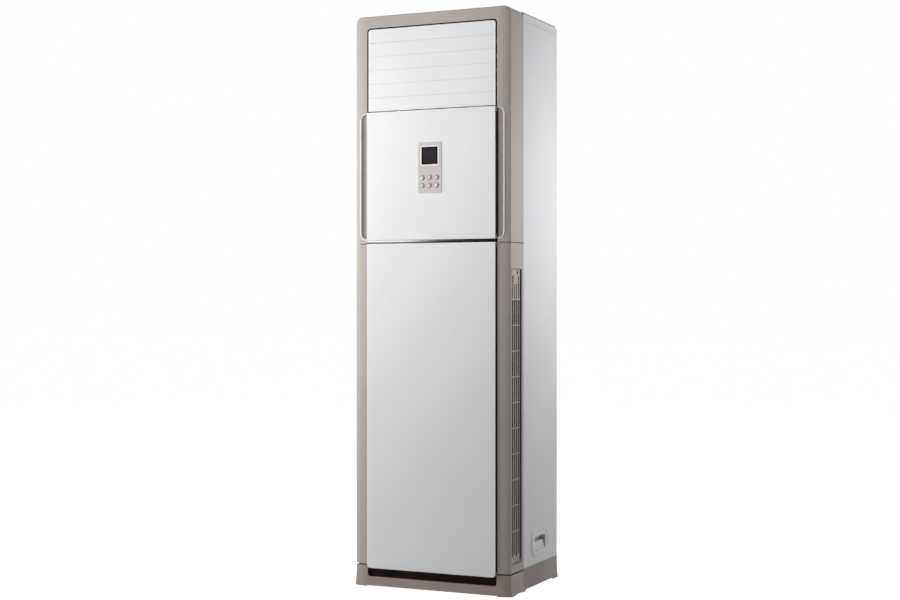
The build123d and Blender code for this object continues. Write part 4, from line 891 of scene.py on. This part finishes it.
@dataclass
class Controls:
    """The control plate with its display window and buttons."""

    buttons: int = 6
    key_radius: float = 8.0 * MM
    key_rise_mm: float = 4.6  # steeper than the real dome, so that its light and shade show
    bezel_band: float = 4.2 * MM
    bezel_proud: float = 0.45 * MM
    bezel_corner: float = 3.0 * MM

    def build(self) -> None:
        """Dresses the controls and rims their display."""
        paint(SATIN_ABS, "control_plate")
        paint(SOLDER_MASK, "control_board")
        for k in range(1, self.buttons + 1):
            self.dress_button(k)
        self.dress_window()
        self.build_bezel()

    def dress_button(self, number: int) -> None:
        """Gives a button its polished dome, which is centred on it.

        Args:
            number: which button it is, from 1.
        """
        low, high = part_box(f"button_{number}")
        key = DomedAbs(
            f"gloss_champagne_abs_{number}", "#d6cfcb", 0.25, coat=0.4, coat_roughness=0.12,
            grain_height_mm=self.key_rise_mm, cloud_mm=20.0, cloud_color="#d2cbc7",
            middle=((low.x + high.x) / 2, (low.z + high.z) / 2), radius=self.key_radius,
        )
        paint(key, f"button_{number}")

    def dress_window(self) -> None:
        """Gives the window its smoked acrylic, with a border as wide all round."""
        low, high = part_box("display_window")
        window = BorderedGlass(
            "smoked_acrylic_window", "#2b2631", 0.25, ior=1.49, specular=0.1,
            grain_mm=30.0, grain_height_mm=0.01, cloud_mm=40.0, cloud_color="#2e2a34",
            low=(low.x, low.z), high=(high.x, high.z),
        )
        paint(window, "display_window")

    def build_bezel(self) -> None:
        """A raised light rim around the display window."""
        low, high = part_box("display_window")
        plate_low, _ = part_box("control_plate")
        bm = rounded_ring(
            high.x - low.x + 2 * self.bezel_band,
            high.z - low.z + 2 * self.bezel_band,
            self.bezel_corner,
            self.bezel_band,
            self.bezel_proud,
            self.bezel_proud / 2,
        )
        middle = (low + high) / 2
        place = Matrix.Translation((middle.x, plate_low.y, middle.z)) @ FRONT_FACING
        bmesh.ops.transform(bm, matrix=place, verts=bm.verts[:])
        finished(bm, "display_bezel", PALE_TRIM_AND_PAINTED_HIGHLIGHT, "cabinet")


@dataclass
class Outlet:
    """The air outlet: duct, louvres, vanes, their link bars, motors and gasket."""

    louvres: int = 6
    vanes: int = 5
    half_width: float = 226.0 * MM
    corner: float = 12.0 * MM
    duct_wall: float = 2.5 * MM
    gasket_thick: float = 1.3 * MM
    gasket_front: float = 0.6 * MM  # behind the face of the stiles
    gasket_back: float = 24.0 * MM
    sill_thick: float = 0.3 * MM

    def build(self) -> None:
        """Dresses the outlet and lines its mouth with black foam, a painted shade."""
        paint(GLOSS_WHITE_ABS, *[f"louvre_blade_{k}" for k in range(1, self.louvres + 1)])
        paint(DARK_ABS, *[f"vane_{k}" for k in range(1, self.vanes + 1)], "swing_motors")
        paint(MATT_WHITE_ABS, "outlet_duct", "louvre_link_bar", "vane_link_bar")
        frame_low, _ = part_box("upper_front_frame")
        duct_low, duct_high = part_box("outlet_duct")
        front = frame_low.y + self.gasket_front
        back = frame_low.y + self.gasket_back
        bottom = duct_low.z + self.duct_wall
        self.build_gasket(front, back, bottom, duct_high.z - self.duct_wall)
        self.build_sill_tape(front, back, bottom)

    def build_gasket(self, front: float, back: float, bottom: float, top: float) -> None:
        """Adds the black foam strip around the mouth of the duct, open at the sill: a painted shade.

        Args:
            front: Y of its front edge.
            back: Y of its back edge.
            bottom: Z of the duct's floor.
            top: Z of the duct's ceiling.
        """
        middle = Vector((0, front, (bottom + top) / 2))
        bm = bmesh.new()
        rectangle_into(bm, 2 * self.half_width, top - bottom, Matrix.Translation(middle) @ FRONT_FACING)
        upper = [v for v in bm.verts if v.co.z > bottom + self.corner]
        round_off(bm, upper, Rounding.CORNERS, self.corner, steps=6)
        sill = [e for e in bm.edges if all(v.co.z < bottom + self.gasket_thick for v in e.verts)]
        draw_out(bm, [e for e in bm.edges if e not in sill], (0, back - front, 0))
        bmesh.ops.delete(bm, geom=[f for f in bm.faces if abs(f.normal.y) > FACING], context="FACES")
        bmesh.ops.delete(bm, geom=[e for e in bm.edges if not e.link_faces], context="EDGES")
        thicken_inwards(bm, self.gasket_thick, Vector((0, 0, middle.z)))
        finished(bm, "outlet_shade_gasket", BLACK_FOAM_PAINTED_SHADE, "cabinet")

    def build_sill_tape(self, front: float, back: float, bottom: float) -> None:
        """Adds the thin black tape across the sill: a painted shade.

        Args:
            front: Y of its front edge.
            back: Y of its back edge.
            bottom: Z of the duct's floor.
        """
        bm = bmesh.new()
        box_into(
            bm, (-self.half_width, front, bottom), (self.half_width, back, bottom + self.sill_thick)
        )
        finished(bm, "outlet_sill_shade_tape", BLACK_FOAM_PAINTED_SHADE, "cabinet")


@dataclass
class Intakes:
    """The intake grilles low in both sides, with their seals and filters."""

    opening_back: float = -104.25 * MM
    opening_bottom: float = 96.6 * MM
    opening_top: float = 1014.0 * MM
    ledge_x: float = 259.0 * MM
    wall_x: float = 266.0 * MM
    gap: float = 4.5 * MM  # behind the grille, up the flank
    seal_thick: float = 1.2 * MM
    net_pitch: float = 3.0 * MM  # coarser than the real net, so that its holes show
    net_cord: float = 0.5 * MM
    net_margin: float = 6.0 * MM
    face_x: float = 265.0 * MM
    hole_y: float = -137.25 * MM  # middle of the latch's finger hole
    hole_drop: float = 10.0 * MM  # from the top of the grille down to it
    hole_width: float = 10.0 * MM
    hole_height: float = 14.0 * MM
    hole_depth: float = 3.5 * MM  # behind the face
    end_round: float = 0.98  # share of the hole's half width that its corners take
    latch_proud: float = 2.5 * MM
    cup_thick: float = 0.4 * MM
    rim_band: float = 1.0 * MM
    hooks: tuple[tuple[float, float], ...] = (  # Y of each foot hook, and the Z of its top
        (-170.25 * MM, 116.6 * MM),
        (-153.55 * MM, 124.6 * MM),
        (-136.85 * MM, 116.6 * MM),
        (-120.15 * MM, 124.6 * MM),
    )
    hook_foot: float = 102.8 * MM
    hook_half: float = 1.9 * MM
    hook_inner_x: float = 259.8 * MM
    hook_outer_x: float = 264.9 * MM
    hook_tip: float = 0.4 * MM

    def build(self) -> None:
        """Dresses the grilles and filters and adds their fine pieces."""
        for name, side in SIDES:
            paint(CHAMPAGNE_PAINT, f"{name}_intake_grille")
            paint(NYLON_NET, f"{name}_air_filter")
            self.build_shade_seal(name, side)
            self.build_net(name)
            self.build_latch(name, side)
            self.build_hooks(name, side)

    def build_shade_seal(self, name: str, side: int) -> None:
        """Adds the russet foam strip in the gap behind a grille, on the ledge and up the flank: a painted
        shade.

        Args:
            name: right or left.
            side: the sign of X on that side.
        """
        bm = bmesh.new()
        back = self.opening_back
        for near_x, far_x, front in (
            (self.ledge_x, self.ledge_x + self.seal_thick, back - self.gap),
            (self.ledge_x, self.wall_x, back - self.seal_thick),
        ):
            box_into(
                bm, (near_x * side, front, self.opening_bottom), (far_x * side, back, self.opening_top)
            )
        finished(bm, f"{name}_grille_shade_seal", RUSSET_FOAM_PAINTED_SHADE, "cabinet")

    def build_net(self, name: str) -> None:
        """Adds the woven net of a filter, on the outside of its moulded ribs.

        Args:
            name: right or left.
        """
        low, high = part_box(f"{name}_air_filter")
        middle = (low + high) / 2
        middle.x = high.x if name == "right" else low.x
        width = high.y - low.y - 2 * self.net_margin
        height = high.z - low.z - 2 * self.net_margin
        bm = bmesh.new()
        rectangle_into(
            bm,
            height,
            width,
            Matrix.Translation(middle) @ Matrix.Rotation(math.radians(90), 4, "Y"),
            columns=round(height / self.net_pitch),
            rows=round(width / self.net_pitch),
        )
        holes = bm.faces[:]
        bmesh.ops.inset_individual(bm, faces=holes, thickness=self.net_cord / 2, use_even_offset=True)
        bmesh.ops.delete(bm, geom=holes, context="FACES")
        finished(bm, f"{name}_filter_net", NYLON_NET, f"{name}_grille")

    def build_latch(self, name: str, side: int) -> None:
        """Adds the dark cup in a latch's finger hole, a painted shade, and the bright rim around it, a
        painted highlight.

        Args:
            name: right or left.
            side: the sign of X on that side.
        """
        _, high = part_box(f"{name}_intake_grille")
        turn = side_facing(side)
        height = high.z - self.hole_drop
        floor = Matrix.Translation(((self.face_x - self.hole_depth) * side, self.hole_y, height))
        face = Matrix.Translation(((self.face_x + self.latch_proud) * side, self.hole_y, height))
        radius = self.hole_width / 2
        cup = tray(
            self.hole_width,
            self.hole_height,
            radius * self.end_round,
            self.hole_depth + self.latch_proud,
            self.cup_thick,
        )
        bmesh.ops.transform(cup, matrix=floor @ turn, verts=cup.verts[:])
        finished(cup, f"{name}_latch_shade_cup", BLACK_FOAM_PAINTED_SHADE, f"{name}_grille")
        rim = rounded_ring(
            self.hole_width + 2 * self.rim_band,
            self.hole_height + 2 * self.rim_band,
            (radius + self.rim_band) * self.end_round,
            self.rim_band,
            self.cup_thick,
            self.cup_thick / 2,
        )
        bmesh.ops.transform(rim, matrix=face @ turn, verts=rim.verts[:])
        finished(rim, f"{name}_latch_highlight_rim", PALE_TRIM_AND_PAINTED_HIGHLIGHT, f"{name}_grille")

    def build_hooks(self, name: str, side: int) -> None:
        """Adds bright caps on the small hooks in the foot of a grille's slots: a painted highlight.

        Args:
            name: right or left.
            side: the sign of X on that side.
        """
        bm = bmesh.new()
        near, far = sorted((self.hook_inner_x * side, self.hook_outer_x * side))
        for y, top in self.hooks:
            box_into(
                bm,
                (near, y - self.hook_half, self.hook_foot),
                (far, y + self.hook_half, top + self.hook_tip),
            )
        round_off(bm, bm.edges[:], Rounding.EDGES, self.hook_tip, steps=2)
        finished(bm, f"{name}_grille_highlight_hooks", PALE_TRIM_AND_PAINTED_HIGHLIGHT, f"{name}_grille")


@dataclass
class Casing:
    """The steel panels around the cabinet, with their handles, screws and brackets."""

    bracket_x: float = 150.0 * MM
    screw_inset: float = 14.0 * MM  # from the front of a bracket to its first screw
    screw_spacing: float = 26.0 * MM
    screw_radius: float = 4.5 * MM
    screw_taper: float = 0.96  # the top's radius, as a share of the foot's
    screw_height: float = 2.0 * MM
    screw_dome: float = 0.6  # share of the height that is rounded

    def build(self) -> None:
        """Dresses the casing and screws its brackets down."""
        paint(POWDER_COAT, "right_side_panel", "left_side_panel", "top_hood", "back_panel")
        paint(SATIN_WHITE_ABS, "carry_handles")
        paint(ZINC_PLATE, "case_screws")
        paint(GALVANISED_SHEET, "wall_brackets")
        paint(BLACK_RUBBER, "pipe_grommet")
        self.build_bracket_screws()

    def build_bracket_screws(self) -> None:
        """Two pan head screws that hold each wall bracket on the top cover."""
        low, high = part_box("wall_brackets")
        bm = bmesh.new()
        for x in (-self.bracket_x, self.bracket_x):
            for step in (0, 1):
                y = low.y + self.screw_inset + step * self.screw_spacing
                self.screw_into(bm, Vector((x, y, high.z)))
        finished(bm, "bracket_screws", ZINC_PLATE, "cabinet")

    def screw_into(self, bm: Mesh, seat: Vector) -> None:
        """Adds a domed screw head.

        Args:
            bm: the mesh that it joins.
            seat: the middle of the face that it sits on.
        """
        made = bmesh.ops.create_cone(
            bm,
            cap_ends=True,
            segments=24,
            radius1=self.screw_radius,
            radius2=self.screw_radius * self.screw_taper,
            depth=self.screw_height,
            matrix=Matrix.Translation(seat + Vector((0, 0, self.screw_height / 2))),
        )
        top = [v for v in made["verts"] if v.co.z > seat.z + self.screw_height / 2]
        rim = [e for e in {e for v in top for e in v.link_edges} if all(v in top for v in e.verts)]
        round_off(bm, rim, Rounding.EDGES, self.screw_height * self.screw_dome, steps=3)


@dataclass
class FanUnit:
    """The fan that drives the air: wheel, scroll, shaft and motor."""

    def build(self) -> None:
        """Dresses the fan."""
        paint(DARK_ABS, "fan_wheel")
        paint(GALVANISED_SHEET, "fan_scroll", "partition_plate")
        paint(BLACK_ENAMEL, "fan_motor")
        paint(ZINC_PLATE, "fan_shaft")


@dataclass
class Coil:
    """The evaporator with its pipes and condensate tray."""

    foot: tuple[float, float] = (-42.25 * MM, 1145.0 * MM)  # Y and Z of the middle of its foot
    head: tuple[float, float] = (164.75 * MM, 1765.0 * MM)
    depth: float = 44.0 * MM
    fin_pitch: float = 2.5 * MM  # wider than the usual 1.6 mm, a simplification
    fin_thick: float = 0.2 * MM

    def build(self) -> None:
        """Dresses the coil and stacks its fins."""
        paint(GALVANISED_SHEET, "evaporator_end_plates")
        paint(DRAWN_COPPER, "evaporator_tubes", "refrigerant_pipes")
        paint(TURNED_BRASS, "flare_nuts")
        paint(MATT_WHITE_ABS, "drain_pan")
        paint(BLACK_RUBBER, "drain_hose")
        self.build_fins()

    def build_fins(self) -> None:
        """The stack of thin upright fins, which lean back as the coil does."""
        low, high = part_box("evaporator_fins")
        foot, head = Vector((0.0, *self.foot)), Vector((0.0, *self.head))
        run = head - foot
        middle = (foot + head) / 2
        lean = Matrix.Rotation(-math.atan2(run.y, run.z), 4, "X")
        size = Matrix.Diagonal((self.fin_thick, self.depth, run.length, 1.0))
        width = high.x - low.x
        count = round(width / self.fin_pitch)
        bm = bmesh.new()
        for k in range(count + 1):
            middle.x = low.x + self.fin_thick / 2 + k * (width - self.fin_thick) / count
            bmesh.ops.create_cube(bm, size=1.0, matrix=Matrix.Translation(middle) @ lean @ size)
        finished(bm, "coil_fin_stack", FIN_STOCK, "cabinet", ["evaporator_fins"])


@dataclass
class Electrics:
    """The steel box behind the middle panel, with its board and terminals."""

    def build(self) -> None:
        """Dresses the electrics."""
        paint(GALVANISED_SHEET, "electric_box")
        paint(SOLDER_MASK, "main_board")
        paint(DARK_ABS, "terminal_block")


# ---------------------------------------------------------------------------- studio
@dataclass
class Lamp:
    """A soft rectangular lamp that points at a target."""

    title: str
    place: tuple[float, float, float]
    target: tuple[float, float, float]
    width: float
    height: float
    watts: float
    mirrored: bool = False  # whether glossy surfaces show it

    def build(self) -> None:
        """Adds the lamp to the scene."""
        light = bpy.data.lights.new(self.title, "AREA")
        light.shape = "RECTANGLE"
        light.size = self.width
        light.size_y = self.height
        light.energy = self.watts
        lamp = bpy.data.objects.new(self.title, light)
        lamp.location = self.place
        lamp.visible_glossy = self.mirrored
        aim = Vector(self.target) - Vector(self.place)
        lamp.rotation_euler = aim.to_track_quat("-Z", "Y").to_euler()
        bpy.context.scene.collection.objects.link(lamp)


@dataclass
class Studio:
    """A pale floor, soft lamps, a white backdrop and the camera."""

    floor_size: float = 60.0
    floor_color: str = "#c0c0c0"
    floor_lift: float = 0.98  # how much white the camera adds to the floor, so that it meets the backdrop
    fill: float = 0.04  # strength of the light from all round
    lens: float = 62.78
    sensor: float = 36.0
    view_end: float = 100.0
    camera_place: tuple[float, float, float] = (2.1088, -4.6713, 0.9166)
    camera_turn: float = 24.56  # degrees, anticlockwise from looking along +Y
    lamps: list[Lamp] = field(
        default_factory=lambda: [
            Lamp("key_lamp", (-1.25, -1.3, 1.55), (-0.05, -0.2, 1.4), 0.8, 0.8, 16.2),
            Lamp("front_lamp", (0.05, -1.55, 1.65), (0.0, -0.2, 1.5), 0.5, 0.5, 8.0),
            Lamp("strip_lamp", (-1.5, -0.75, 0.9), (-0.25, -0.2, 0.8), 0.5, 1.2, 12.0),
            Lamp("side_lamp", (1.25, 0.5, 1.3), (0.27, 0.0, 1.25), 0.6, 0.6, 11.6, mirrored=True),
            Lamp("back_lamp", (-1.7, 2.2, 1.5), (-0.1, 0.1, 1.1), 1.6, 1.4, 46.0),
            Lamp("top_lamp", (-0.2, 1.1, 3.3), (0.0, 0.0, 1.8), 1.0, 1.0, 12.0, mirrored=True),
        ]
    )

    def build(self) -> None:
        """Sets up the whole studio."""
        bpy.context.scene.view_settings.view_transform = "Standard"
        self.build_camera()
        self.build_world()
        self.build_floor()
        for lamp in self.lamps:
            lamp.build()

    def seen_directly(self, tree: Tree) -> Socket:
        """Tells the rays that see white from those that light the object.

        Args:
            tree: the node tree that asks.

        Returns:
            1 for a ray from the camera, off a gloss or through glass, and 0 for any other.
        """
        path = add_node(tree, "LightPath")
        seen = path.outputs["Is Camera Ray"]
        for kind in ("Is Glossy Ray", "Is Transmission Ray"):
            either = {0: seen, 1: path.outputs[kind]}
            seen = add_node(tree, "Math", {"operation": "MAXIMUM"}, either).outputs[0]
        return seen

    def build_world(self) -> None:
        """White behind the object, and an even fill light on it."""
        world = bpy.data.worlds.new("studio")
        world.use_nodes = True
        tree = world.node_tree
        tree.nodes.clear()
        strength = add_node(
            tree, "MapRange", {"To Min": self.fill, "To Max": 1.0}, {"Value": self.seen_directly(tree)}
        )
        white = add_node(
            tree, "Background", {"Color": linear("#ffffff")}, {"Strength": strength.outputs["Result"]}
        )
        add_node(tree, "OutputWorld", {}, {"Surface": white.outputs[0]})
        bpy.context.scene.world = world

    def build_floor(self) -> None:
        """A plain pale floor, which keeps the object's shadow."""
        bm = bmesh.new()
        rectangle_into(bm, self.floor_size, self.floor_size, Matrix.Identity(4))
        mesh = bpy.data.meshes.new("studio_floor")
        bm.to_mesh(mesh)
        bm.free()
        floor = bpy.data.objects.new("studio_floor", mesh)
        bpy.context.scene.collection.objects.link(floor)
        material = bpy.data.materials.new("studio_floor_paint")
        material.use_nodes = True
        tree = material.node_tree
        tree.nodes.clear()
        lift = {"operation": "MULTIPLY", 1: self.floor_lift}
        strength = add_node(tree, "Math", lift, {0: self.seen_directly(tree)}).outputs[0]
        matt = add_node(tree, "BsdfDiffuse", {"Color": linear(self.floor_color)})
        glow = add_node(tree, "Emission", {"Color": linear("#ffffff")}, {"Strength": strength})
        both = add_node(tree, "AddShader", {}, {0: matt.outputs[0], 1: glow.outputs[0]})
        add_node(tree, "OutputMaterial", {}, {"Surface": both.outputs[0]})
        mesh.materials.append(material)

    def build_camera(self) -> None:
        """The camera at the photograph's place and angle."""
        data = bpy.data.cameras.new("photo_camera")
        data.sensor_width = self.sensor
        data.lens = self.lens
        data.clip_end = self.view_end
        camera = bpy.data.objects.new("photo_camera", data)
        camera.location = self.camera_place
        camera.rotation_euler = (math.radians(90), 0.0, math.radians(self.camera_turn))
        bpy.context.scene.collection.objects.link(camera)
        bpy.context.scene.camera = camera


def main() -> None:
    """Builds the studio and every sub-assembly in order."""
    logging.basicConfig(level=logging.INFO, format="%(message)s")
    Studio().build()
    for kind in (
        Base, FrontFrames, FrontPanels, Controls, Outlet, Intakes, Casing, FanUnit, Coil, Electrics
    ):
        log.info("%s", kind.__name__)
        kind().build()


if __name__ == "__main__":
    main()
